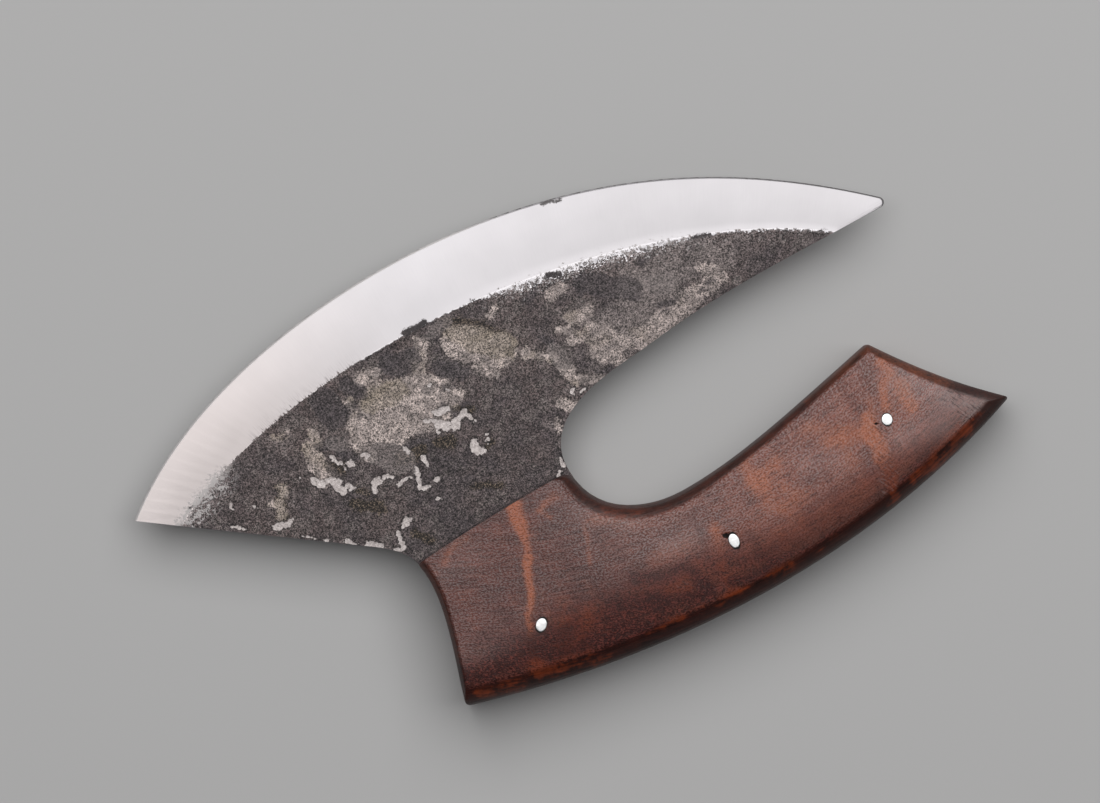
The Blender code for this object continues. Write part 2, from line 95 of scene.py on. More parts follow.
CHIPS_SPOTS = (
    (73, -4.2, 75.5, -4, 0.9), (72.1, -6.8, 75.7, -8.8, 1.1), (76.6, -7.4, 78.8, -6.2, 0.9),
    (78.6, -6.6, 80.2, -8.7, 0.7), (69.7, -5, 71.7, -5.6, 0.5), (78.1, -13.7, 77.9, -15.4, 1),
    (77.9, -15.4, 79.1, -15.9, 0.9), (81.5, -12.7, 81.4, -12.9, 0.5), (81.1, -14.3, 81.2, -14.6, 0.5),
    (71.4, -8.5, 71.6, -8.6, 0.5), (66.4, -12.3, 66.4, -14, 0.7), (50.6, -7.1, 50.7, -7.3, 0.9),
    (46.9, -4, 48.3, -6.1, 0.6), (48.9, -7.6, 49, -7.9, 0.5), (95, -24.6, 94.7, -26.9, 0.6),
    (103.4, -11.6, 103.3, -11.8, 0.7), (44.7, -8.8, 46.6, -10.1, 0.9), (45.6, -11.1, 46.6, -12.3, 0.9),
    (47.5, -11.4, 48.9, -12.8, 0.6), (41.1, -7.2, 42.6, -8.9, 0.9), (53.8, -12.9, 53.1, -15.5, 0.8),
    (54.2, -13, 54.7, -13, 0.9), (56.1, -12.6, 57.9, -13.6, 0.5), (58.7, -15.9, 61.8, -15, 0.6),
    (63.6, -14.1, 63, -18.5, 0.6), (62.9, -18.7, 64.6, -18.7, 0.6), (66.4, -18, 67.4, -18.1, 0.6),
    (65.6, -22.3, 66, -22.5, 0.6), (55.8, -25, 57.5, -23.8, 0.8), (54.4, -26, 54.2, -28.8, 0.7),
    (52, -28.9, 54.1, -29.7, 0.6), (47, -25.5, 49.3, -27, 0.8), (42.8, -23, 44.6, -24.7, 0.5),
    (33.7, -17.7, 36.9, -20, 0.4), (38.1, -20.8, 38.9, -21.1, 0.4), (29.2, -13.8, 32, -14.2, 0.8),
    (32.9, -13.9, 33.2, -13.8, 0.6), (21.9, -4.8, 21.5, -5.9, 0.5), (26.4, -7.7, 26.6, -7.8, 0.5),
    (38.4, -5.4, 38.6, -5.5, 0.5), (20.4, -10.1, 22.4, -11.2, 0.5), (53.8, -6.4, 54.7, -7.1, 0.7),
    (63, -8.6, 63.5, -9.8, 0.6), (77.2, -0, 77.5, -0.4, 0.5), (73.4, 2.6, 73.9, 2.1, 0.5),
    (76.4, -8.3, 76.2, -8.8, 0.7), (92.7, -28.1, 93.5, -27.4, 0.5), (130.6, 13.1, 132.3, 12.9, 0.7),
    (105.3, -12.4, 105.8, -12.4, 0.5),
)
DARKS_SPOTS = (
    (67.7, 9.6, 71.5, 9.3, 3), (50.7, 8.4, 51.6, 4.1, 3.4), (56.2, 9.8, 58.1, 6.8, 2),
    (55.9, 4.5, 56.1, 4.4, 1.1), (57.4, 1.6, 57.9, 1.7, 0.6), (46, -0.9, 48.9, -1.2, 1.6),
    (49.2, -3.8, 51, -6.5, 1.6), (45.4, -5.9, 48.1, -7.7, 1.2), (77.2, 5.1, 81.8, 2.2, 2),
    (76.2, 1.1, 79.7, 0.1, 0.8), (75.3, -3.4, 76.9, -6.1, 1), (79.4, -4.7, 81.4, -7, 1.1),
    (71.6, -10.5, 73.6, -11.6, 1.7), (80.4, -15.9, 82.1, -14.7, 0.9), (64.4, -8.7, 68.4, -9.9, 1.5),
    (101.5, 11.4, 104.5, 13.1, 1.2), (110.8, 13.4, 108.3, 14.5, 0.7), (91.8, 8.8, 92.4, 8.4, 0.5),
    (129, -1.2, 132.2, -1.3, 1.1), (127.8, -3.4, 130.6, -2.6, 0.5), (138.4, -0, 143.3, -0.8, 0.4),
    (128.8, 9.5, 131.3, 9.4, 1.1), (131.6, 11.3, 132.2, 10.5, 0.8), (114.9, 10.4, 124.7, 4.3, 2.7),
    (57.8, -27.4, 60.2, -30.4, 1.1), (74.9, -23.5, 77.7, -25.2, 0.7), (73.9, -20.1, 74.1, -20.7, 0.5),
    (138.8, -2.1, 140.6, -2.4, 0.7), (109.9, -9.7, 113.8, -9.8, 0.9), (102.2, 2, 103.3, 0.5, 1.1),
)
SMOOTH_SPOTS = (
    (48.5, -1.5, 50, -2.6, 1.8), (56.9, -7.8, 61.5, -10.9, 3.2), (80.3, 13.7, 83, 14.3, 1.9),
    (129, 4, 132.8, 2.4, 2), (147.7, -3.2, 148.2, -3.1, 1.1), (73, 1, 73.1, 0.7, 1.4),
    (77.1, 13.1, 81, 12.9, 1.1), (103.5, -1.5, 103.7, -4.6, 1.8),
)
CLUMPS_SPOTS = (
    (73.4, 15.4, 78.3, 16, 0.8), (113.3, 30.6, 117.7, 29.7, 0.4), (111, 14, 108.3, 14.7, 0.7),
    (169.4, 0.5, 171, 0, 0.3), (142.3, 9.7, 145.8, 9.2, 0.5), (12.9, -2.2, 13.7, -2.1, 0.3),
    (89.9, 16.5, 90.7, 16.2, 0.3),
)
RUST_SPOTS = (
    (60.4, 3.9, 66.7, 3.7, 2.7), (61.3, -10.3, 66, -10.9, 1.8), (47.7, -16.2, 52.7, -19, 1.6),
    (49.4, -12.7, 51.1, -14.4, 0.9), (57.8, -27.4, 60.6, -30.5, 1.1), (33.5, -6, 31.8, -12.2, 1.4),
    (71.1, -10.3, 73.6, -11.6, 1.6), (45.1, -5.5, 48.1, -7.7, 1.1), (84.7, 11.3, 92.2, 4.5, 3.6),
    (74.9, -23.3, 80.5, -25, 1), (80.4, -15.9, 82.1, -14.7, 1.1), (76, -4, 80.5, -6.5, 1),
)

# Thin lighter scale, as soft strokes with a strength.
HAZE_SPOTS = (
    (116, -4, 128, 0, 6.5, 0.75), (126, 6, 143, 5, 6, 0.75), (17.6, 0, 24, 3.4, 2.2, 0.9),
    (105, 6, 116, 0, 3, 0.35), (60, -18, 74, -17, 3, 0.25), (30, 0, 40, 3, 3, 0.3), (148, 3, 156, 4, 4, 0.35),
)

# Figure of the upper scale, in the same frame: amber bands and lumps, then dusky clouds, with some painted
# highlight and shade among the rows.
AMBER_SPOTS = (
    (80.6, -29.8, 81, -35.2, 1.7, 1), (85.8, -34, 87.8, -36.3, 0.9, 0.4), (80.9, -36.9, 79.2, -43.1, 1, 0.75),
    (79.2, -43.1, 73, -60.2, 1.1, 0.9), (73, -60.2, 70.9, -68.2, 1.2, 0.9),
    (94, -41.4, 91.3, -49.7, 0.7, 0.35), (87.6, -59, 83, -70.4, 2, 0.55), (82.3, -55.2, 80.7, -65.9, 2, 0.4),
    (94.8, -60.5, 99.8, -59.2, 1.8, 0.35), (105.9, -61.3, 110.8, -62.4, 1.6, 0.7),
    (121, -52.3, 120.9, -57.2, 1.6, 0.6), (119.1, -60.4, 119.5, -67, 1.4, 0.55),
    (133.4, -42.8, 134.6, -51.7, 2.6, 0.5), (137.7, -54.9, 139.8, -59.3, 2, 0.6),
    (134.5, -59, 134.4, -63.9, 1.4, 0.45), (150.6, -34.3, 151.7, -33.3, 1.1, 0.6),
    (151.1, -45.3, 158.7, -46.1, 2.2, 0.45), (163.8, -39.8, 162.3, -46.1, 1.4, 0.45),
    (162.4, -43.5, 162, -48.5, 1.3, 1.3), (162, -48.5, 162.4, -53.5, 1.7, 2),
    (161.8, -53.5, 162.4, -57.5, 1.4, 1.4), (162, -57, 161.3, -61.5, 1.2, 1.1),
    (172.4, -39.3, 172, -43.9, 1.7, 0.95), (170.2, -32.7, 170.9, -35.9, 1.7, 0.8),
    (168.6, -37, 167.3, -41.5, 1.4, 0.8), (154.3, -50.1, 155.6, -55.6, 2, 0.4),
    (134, -46.5, 140, -45, 2.2, 0.5), (139.5, -50, 142, -55, 1.8, 0.5), (149, -40, 156, -44, 3, 0.35),
    (87, -33, 91, -32, 1.4, 0.4), (62, -36, 67, -33, 1.6, 0.35), (79.5, -60, 78, -65, 1.8, 0.7),
    (97, -40, 103, -43.5, 2.4, 0.35), (114.7, -53.2, 104.6, -53.8, 2.2, 0.4),
    (56.3, -66.5, 66.4, -68.3, 1.4, 0.8), (70.8, -67.2, 79.9, -69, 1.8, 1), (84.1, -70.8, 88, -71, 0.9, 0.6),
    (100.4, -67.3, 105.5, -68, 1, 0.8), (116.5, -67.7, 119.5, -67.5, 1.1, 1),
    (127.6, -67, 132.1, -66.9, 1.4, 1.1), (141, -65.7, 144.6, -65.3, 0.9, 0.5),
    (158.3, -63.2, 161.1, -62.4, 1.1, 0.7), (174.8, -55.8, 180.6, -53.8, 1.4, 0.8),
    (168, -60, 175, -58, 2, 0.8), (175, -58, 182, -55, 2, 0.9), (184.4, -53, 186.8, -52, 0.7, 0.5),
    # These two rows paint the highlight along the palm's arris in amber.
    (97, -68.4, 111.5, -68.2, 0.7, 0.45), (111.5, -68.2, 124, -67.8, 0.7, 0.45),
)
DUSK_SPOTS = (
    (86.2, -65.8, 101.4, -68.3, 2, 0.9), (101.9, -63.5, 113.5, -65.5, 1.4, 0.7),
    (100.1, -56.3, 111, -58.5, 1.6, 0.85), (112.7, -60.2, 113.7, -65, 1.4, 0.6),
    (56.6, -62.2, 68.3, -63.7, 1.4, 0.8), (73.2, -63.8, 83.2, -66, 1.1, 0.6),
    (120.2, -65.8, 129.8, -65.4, 1.4, 0.8), (127.2, -56.4, 128.4, -62.9, 1.8, 0.4),
    (97, -43.7, 98.5, -51.7, 2.3, 0.3), (87.6, -42.7, 86, -53.4, 2, 0.3),
    (69.7, -49.9, 70.5, -59.7, 2.5, 0.35), (92.7, -59.7, 90.8, -67.7, 2, 0.5),
    (149.3, -64.8, 157.2, -63.7, 1.4, 0.5), (165.2, -59.2, 175.9, -54.3, 1.8, 0.45),
    (160.8, -34.1, 160.5, -42.9, 1.8, 0.25), (116.5, -49, 116.9, -56.1, 1.8, 0.3),
    (149.4, -50.5, 149.2, -57.9, 2, 0.3), (176.5, -44.7, 181.8, -45, 1.6, 0.4),
    # The row from (58, -60.5) to (80, -61.5) paints shade near the palm.
    (131.8, -65.3, 152.1, -64, 1.1, 0.5), (58, -60.5, 80, -61.5, 2.6, 0.8), (63, -55.5, 68, -57.5, 2.4, 0.45),
    (95, -60.5, 103, -62.5, 2, 0.85),
)
# Where the butt and the finger side carry a painted sheen: the lamp's reflection painted as a lighter colour.
PAINTED_SHEEN_SPOTS = (
    (174, -38.5, 187, -49.5, 4.4, 1.1), (168, -50.5, 177, -51, 3.4, 1), (96, -37.5, 104, -43, 2.6, 0.6),
    (181, -46, 188, -50.5, 3, 0.8), (109, -52.5, 116, -52.5, 2.4, 0.6), (60, -38, 68, -37.5, 3.2, 0.3),
    (146, -47, 152, -49, 3, 0.5),
)
UNDER_AMBER_SPOTS = (
    (70, -34, 66, -52, 1.4, 0.7), (66, -52, 64, -67, 1.1, 0.7), (96, -38, 93, -56, 1.9, 0.7),
    (93, -56, 95, -70, 1.6, 0.7), (112, -50, 118, -62, 1.3, 0.7), (126, -58, 127, -70, 1.6, 0.7),
    (143, -42, 141, -60, 1.5, 0.7), (154, -50, 158, -63, 1.6, 0.7), (170, -36, 167, -50, 1.3, 0.7),
)
UNDER_DUSK_SPOTS = (
    (74, -60, 88, -64, 2.4, 0.6), (104, -46, 108, -60, 2.6, 0.6), (132, -50, 136, -64, 2.2, 0.6),
    (160, -40, 176, -46, 2, 0.6),
)

# Places where the grain curls over and shows as short dark slanting lines.
CURL_SPOTS = (
    (164, -44, 161, -60, 2.2, 1), (181.5, -46.3, 186.3, -53, 2.1, 1.2), (172, -34, 181, -40, 2.2, 0.6),
    (177, -37, 187, -43, 1.8, 0.7), (137, -57, 139, -60, 1.6, 0.45), (86, -41, 94, -47, 4, 0.25),
    (118, -66, 108, -61, 1.4, 0.4),
)
UNDER_CURL_SPOTS = (
    (100, -50, 104, -62, 2.4, 1), (150, -44, 156, -58, 2.4, 1), (180, -44, 184, -52, 2.2, 0.8),
)

# Heads of the pins: node, the upper head's half widths, its lean in degrees, then the lower head's.
PIN_HEADS = (
    ("front_pin", 1.20, 1.56, -43.0, 1.30, 1.42, 20.0),
    ("middle_pin", 1.16, 1.66, 2.0, 1.28, 1.46, -35.0),
    ("rear_pin", 1.22, 1.36, -8.0, 1.24, 1.50, 60.0),
)
# Rings of a head, from its middle: share of the oval shape, depth and size.
PIN_RINGS = (
    (1.0, 0.0, 0.0), (1.0, 0.0, 0.45), (1.0, 0.004, 0.80), (1.0, 0.014, 0.94), (1.0, 0.06, 1.0),
    (1.0, 0.6, 1.0), (0.0, 3.0, 1.0),
)
PIN_RADIUS = 1.25
HOLE_RADIUS = 1.35
HEAD_GAP = 0.07
HEAD_GAP_FADE = 0.06
PIN_SIDES = 44
# Crown of the scales: its slope at the palm and at the fingers, how far it reaches in from there,
# and the corners of the handle at the ends of those two sides.
PALM_SLOPE = 0.13
FINGER_SLOPE = 0.14
FINGER_REACH = 13.0
RIM_DROP = 0.06
RIM_REACH = 6.0
THROAT = np.array((93.9, -27.6))
PALM_CORNER = np.array((55.4, -65.1))
BUTT_END = np.array((192.4, -50.2))
HANDLE_MIDDLE = np.array((115.0, -58.0))
# Colours of the steel: the forge scale with its patches, the ground bevel and the bare edges.
COOL_SCALE = (0.072, 0.058, 0.061)
WARM_SCALE = (0.108, 0.082, 0.079)
HALO = (0.195, 0.156, 0.145)
FLAKE = (0.165, 0.138, 0.134)
THIN = (0.255, 0.215, 0.205)
WORN = (0.24, 0.2, 0.195)
MOTTLE_LIGHT = (0.148, 0.122, 0.121)
MOTTLE_DARK = (0.038, 0.03, 0.032)
PALE = (0.56, 0.47, 0.435)
PALE_GREY = (0.38, 0.32, 0.3)
PALE_TAN = (0.34, 0.28, 0.235)
PALE_SPECK = (0.095, 0.078, 0.072)
CRACK = (0.075, 0.06, 0.055)
ISLE = (0.15, 0.126, 0.12)
RUST = (0.25, 0.205, 0.155)
DARK_PLATE = (0.062, 0.052, 0.056)
OLIVE_DEEP = (0.03, 0.022, 0.017)
OLIVE = (0.12, 0.09, 0.064)
EVEN = (0.168, 0.139, 0.132)
CHIP = (0.64, 0.58, 0.56)
CHIP_DULL = (0.36, 0.315, 0.305)
BARE = (0.7, 0.66, 0.65)
DOT = (0.42, 0.38, 0.36)
PIT = (0.02, 0.016, 0.016)
GROUND_HEEL = (0.475, 0.43, 0.422)
GROUND_TIP = (0.47, 0.452, 0.464)
FRINGE = (0.17, 0.15, 0.15)
CLUMP = (0.05, 0.043, 0.045)
RIM = (0.36, 0.335, 0.33)
WALL = (0.14, 0.125, 0.12)
MICRO_BEVEL = (0.7, 0.67, 0.66)
# Colours of the wood: its ground at the front and the rear, its curl, marks, the grey of the painted sheen on
# its fibres, and its sides, painted in light and shade.
WOOD_FRONT_DEEP = (0.1, 0.018, 0.01)
WOOD_FRONT = (0.165, 0.034, 0.019)
WOOD_REAR_DEEP = (0.205, 0.045, 0.026)
WOOD_REAR = (0.325, 0.083, 0.045)
WOOD_BRIGHT = (0.31, 0.08, 0.036)
WOOD_DARK = (0.06, 0.012, 0.009)
AMBER = (0.64, 0.176, 0.066)
AMBER_DEEP = (0.47, 0.116, 0.04)
# Amber in the palm's painted shade: darker and redder.
AMBER_SHADED = (0.215, 0.041, 0.014)
DUSK = (0.046, 0.009, 0.007)
# A neutral grey that paints the sheen of the lamp's reflection.
SHEEN_GREY = (0.385, 0.35, 0.345)
WARM = (0.27, 0.07, 0.053)
PORE = (0.03, 0.006, 0.005)
# Side colours paint light and shade: dark at the fingers and the palm, lit at the butt.
SIDE_FINGER_SHADE = (0.045, 0.009, 0.004)
SIDE_BUTT_LIT = (0.125, 0.03, 0.01)
SIDE_PALM_SHADE = (0.024, 0.004, 0.002)
SIDE_GLOW = (0.175, 0.028, 0.006)
SIDE_GLOW_SHADED = (0.13, 0.022, 0.005)
# Near black in the voids, and painted shade in the thin gap round each head.
VOID = (0.012, 0.007, 0.006)
# Colours of the glue and the pins.
GLUE_DEEP = (0.02, 0.012, 0.009)
GLUE = (0.045, 0.027, 0.018)
PIN_BRIGHT = (0.92, 0.92, 0.92)
PIN_DULL = (0.8, 0.79, 0.78)
# How many points are worked on at a time, and how often the sides are smoothed.
BATCH = 4000
SMOOTH_TURNS = 8
# How far round a pin the upper scale's mesh is finer, for its void.
VOID_REACH = 3.0
# Voids in the upper scale: middle, half length, half width, lean in degrees and depth.
VOIDS = ((122.5, -55.3, 1.0, 0.5, -32.0, 0.7), (163.6, -45.1, 0.5, 0.28, -20.0, 0.4))


def lattice(points, cell, seed):
    """Smooth random values from -1 to 1, in hills about one cell wide."""
    spots = points / cell
    base = np.floor(spots).astype(np.int64)
    share = spots - base
    share = share * share * (3.0 - 2.0 * share)
    total = np.zeros(len(points))
    for corner in range(2 ** points.shape[1]):
        weight = np.ones(len(points))
        key = np.full(len(points), seed * 7919 + 17, dtype=np.int64)
        for axis in range(points.shape[1]):
            far = corner >> axis & 1
            weight = weight * (share[:, axis] if far else 1.0 - share[:, axis])
            key = (key * 1000003 ^ (base[:, axis] + far + 100000)) & 0x7FFFFFFF
        key = (key ^ key >> 13) * 1274126177 & 0x7FFFFFFF
        key = (key ^ key >> 11) * 69069 & 0x7FFFFFFF
        total += weight * ((key >> 7 & 0xFFFF) / 32767.5 - 1.0)
    return total


def cloud(points, cell, seed, octaves=3):
    """Lattice noise with finer noise on it, from about -1 to 1."""
    total = np.zeros(len(points))
    for octave in range(octaves):
        total += lattice(points, cell / 2.0 ** octave, seed + octave) / 2.0 ** octave
    return total / (2.0 - 0.5 ** (octaves - 1))


def smooth(value, low, high):
    """0 at low, 1 at high and an even turn between them."""
    share = np.clip((value - low) / (high - low), 0.0, 1.0)
    return share * share * (3.0 - 2.0 * share)


def lengths(rows):
    return np.linalg.norm(rows, axis=-1)


def batches(points):
    """Slices that take the points a few thousand at a time."""
    return [slice(i, i + BATCH) for i in range(0, len(points), BATCH)]


def nearest_on(line, points):
    """Each point's distance from the line, and how far along the line that is."""
    a = line[:-1]
    b = line[1:]
    run = b - a
    length = lengths(run)
    start = np.concatenate(([0.0], np.cumsum(length)))[:-1]
    away = np.empty(len(points))
    station = np.empty(len(points))
    for batch in batches(points):
        p = points[batch, None, :]
        share = np.clip(((p - a) * run).sum(2) / (length * length), 0.0, 1.0)
        gap = lengths(p - a - share[:, :, None] * run)
        pick = gap.argmin(1)
        row = np.arange(len(pick))
        away[batch] = gap[row, pick]
        station[batch] = start[pick] + share[row, pick] * length[pick]
    return away, station


def inside(loop, points):
    """True for the points within a closed outline."""
    result = np.zeros(len(points), dtype=bool)
    x, y = points.T
    for (ax, ay), (bx, by) in zip(loop, np.roll(loop, -1, axis=0)):
        crosses = (ay > y) != (by > y)
        if ay != by:
            result ^= crosses & (x < (bx - ax) * (y - ay) / (by - ay) + ax)
    return result


def strokes(points, rows):
    """For each row the points' distances from its line, and the rest of the row."""
    for x1, y1, x2, y2, *rest in rows:
        a = np.array((x1, y1))
        run = np.array((x2, y2)) - a
        share = np.clip((points - a) @ run / (run @ run), 0.0, 1.0)
        yield lengths(points - a - share[:, None] * run), *rest


def marks(points, rows):
    """How far inside the nearest mark each point is, below 0 outside all of them."""
    best = np.full(len(points), -50.0)
    for gap, half in strokes(points, rows):
        best = np.maximum(best, half - gap)
    return best


def soft_marks(points, rows):
    """The sum of soft strokes, each of its own strength, about 1 in the middle of a strong one."""
    total = np.zeros(len(points))
    for gap, half, strength in strokes(points, rows):
        total += strength * np.exp(-(gap / half) ** 2)
    return total


def ragged(points, cell, reach, seed):
    """The points pushed about by noise, which makes the marks uneven."""
    east = cloud(points, cell, seed, 2)
    north = cloud(points, cell, seed + 31, 2)
    return points + reach * np.stack((east, north), axis=1)


def chain(edges):
    """The edges' vertices in order, as an array of x and y in millimetres."""
    links = {}
    for edge in edges:
        a, b = edge.verts
        links.setdefault(a, []).append(b)
        links.setdefault(b, []).append(a)
    ends = [v for v in links if len(links[v]) == 1]
    ahead = [min(ends or links, key=lambda v: v.co.x)]
    order = []
    while ahead:
        order.append(ahead[0])
        ahead = [v for v in links[order[-1]] if v not in order]
    return np.array([v.co[:2] for v in order]) / MM


def copy_of(node):
    """A node's mesh as a bmesh, with its coplanar triangles joined."""
    bm = bmesh.new()
    bm.from_mesh(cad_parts[node].data)
    bmesh.ops.remove_doubles(bm, verts=bm.verts[:], dist=1e-6)
    bmesh.ops.dissolve_limit(bm, angle_limit=math.radians(0.02), verts=bm.verts[:], edges=bm.edges[:])
    return bm


def slice_up(bm, step, axes):
    """Cuts the mesh by evenly spaced planes, so that it can carry relief and figure."""
    for axis in axes:
        values = [v.co[axis] for v in bm.verts]
        low = min(values)
        normal = [0.0, 0.0, 0.0]
        normal[axis] = 1.0
        for i in range(1, int((max(values) - low) / (step * MM)) + 1):
            place = [0.0, 0.0, 0.0]
            place[axis] = low + i * step * MM
            geometry = bm.verts[:] + bm.edges[:] + bm.faces[:]
            bmesh.ops.bisect_plane(bm, geom=geometry, dist=1e-7, plane_co=place, plane_no=normal)


def mesh_of(bm, name):
    mesh = bpy.data.meshes.new(name)
    bm.to_mesh(mesh)
    bm.free()
    return mesh


def add_object(name, data):
    result = bpy.data.objects.new(name, data)
    bpy.context.scene.collection.objects.link(result)
    return result


def finer_mesh(bm, name):
    """A mesh from the bmesh with every face split once more, which keeps the shape."""
    whole = add_object(name + "_plan", mesh_of(bm, name))
    split = whole.modifiers.new("split", "SUBSURF")
    split.subdivision_type = "SIMPLE"
    split.levels = 1
    split.render_levels = 1
    result = bpy.data.meshes.new_from_object(whole.evaluated_get(bpy.context.evaluated_depsgraph_get()))
    bpy.data.objects.remove(whole)
    result.name = name
    return result


def places(mesh):
    values = np.empty(len(mesh.vertices) * 3)
    mesh.vertices.foreach_get("co", values)
    return values.reshape(-1, 3) / MM


def put_places(mesh, values):
    mesh.vertices.foreach_set("co", (values * MM).ravel())
    mesh.update()


def put_field(mesh, name, *columns):
    """Keeps one or three values at each vertex for the material."""
    field = mesh.attributes.new(name, "FLOAT_VECTOR", "POINT")
    field.data.foreach_set("vector", np.stack((columns * 3)[:3], axis=1).astype(np.float32).ravel())


def add_piece(mesh, name, node, material):
    piece = add_object(name, mesh)
    mesh.materials.clear()
    mesh.materials.append(material)
    mesh.polygons.foreach_set("use_smooth", np.ones(len(mesh.polygons), dtype=bool))
    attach(piece, "root")
    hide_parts(node)


class Value:
    """A node's output: a number, place or colour that changes over the surface."""

    def __init__(self, paint, socket):
        self.paint = paint
        self.socket = socket

    def __mul__(self, other):
        if self.socket.type == "VALUE":
            return self.paint.math("MULTIPLY", self, other)
        return self.paint.node("VectorMath", {0: self, "Scale": other}, operation="SCALE")

    def __rsub__(self, other):
        return self.paint.math("SUBTRACT", other, self)

    def __abs__(self):
        return self.paint.math("ABSOLUTE", self)

    def step(self, low, high):
        """0 at low, 1 at high and an even turn between them. Low may be the higher one."""
        inputs = {"Value": self, "From Min": low, "From Max": high}
        return self.paint.node("MapRange", inputs, interpolation_type="SMOOTHSTEP")

    def lay(self, share, colour):
        """Lays a colour over this one, fully where the share is 1."""
        self.socket = self.paint.mix(share, self, colour).socket


def math_method(operation):
    """A method of Value that puts it and another number through a node."""
    return lambda self, other: self.paint.math(operation, self, other)


Value.__add__ = Value.__radd__ = math_method("ADD")
Value.__sub__ = math_method("SUBTRACT")
Value.__truediv__ = math_method("DIVIDE")
Value.at_least = math_method("MAXIMUM")
Value.at_most = math_method("MINIMUM")


class Paint:
    """A material and the nodes that make it up."""

    def __init__(self, name):
        self.material = bpy.data.materials.new(name)
        self.material.use_nodes = True
        self.tree = self.material.node_tree
        self.tree.nodes.clear()
        self.shader = self.tree.nodes.new("ShaderNodeBsdfPrincipled")
        output = self.tree.nodes.new("ShaderNodeOutputMaterial")
        self.tree.links.new(self.shader.outputs["BSDF"], output.inputs["Surface"])
        self.place = self.node("TexCoord", {}, "Object") * (1.0 / MM)

    def put(self, socket, value):
        if isinstance(value, Value):
            self.tree.links.new(value.socket, socket)
        elif isinstance(value, tuple) and socket.type == "RGBA":
            socket.default_value = value + (1.0,)
        else:
            socket.default_value = value

    def node(self, kind, inputs, result=0, **settings):
        """A new node with these inputs and settings, and the output of it that is wanted."""
        node = self.tree.nodes.new("ShaderNode" + kind)
        for name, setting in settings.items():
            setattr(node, name, setting)
        for key, value in inputs.items():
            self.put(node.inputs[key], value)
        return Value(self, node.outputs[result])

    def parts(self, vector):
        """A vector's x, y and z."""
        first = self.node("SeparateXYZ", {0: vector})
        return [Value(self, socket) for socket in first.socket.node.outputs]

    def vector(self, x, y, z):
        return self.node("CombineXYZ", {0: x, 1: y, 2: z})

    def field(self, name):
        return self.parts(self.node("Attribute", {}, "Vector", attribute_name=name))

    def math(self, operation, *values):
        return self.node("Math", dict(enumerate(values)), operation=operation)

    def noise(self, scale, detail=2.0, rough=0.5, where=None):
        """Noise round 0, of about -0.5 to 0.5, with that many hills to the millimetre."""
        inputs = {"Vector": where or self.place, "Scale": scale, "Detail": detail, "Roughness": rough}
        return self.node("TexNoise", inputs) - 0.5

    def cells(self, scale):
        """Distance from the nearest of scattered dots, from 0 to about 0.8."""
        return self.node("TexVoronoi", {"Vector": self.place, "Scale": scale}, "Distance")

    def mix(self, share, a, b):
        """A colour between two."""
        return self.node("Mix", {0: share, 6: a, 7: b}, 2, data_type="RGBA")

    def blend(self, share, a, b):
        """A number between two."""
        return self.node("Mix", {0: share, 2: a, 3: b}, data_type="FLOAT")

    def bump(self, height, strength, distance):
        inputs = {"Height": height, "Strength": strength, "Distance": distance * MM}
        self.put(self.shader.inputs["Normal"], self.node("Bump", inputs))

    def finish(self, **values):
        for name, value in values.items():
            self.put(self.shader.inputs[name.replace("_", " ")], value)
        return self.material


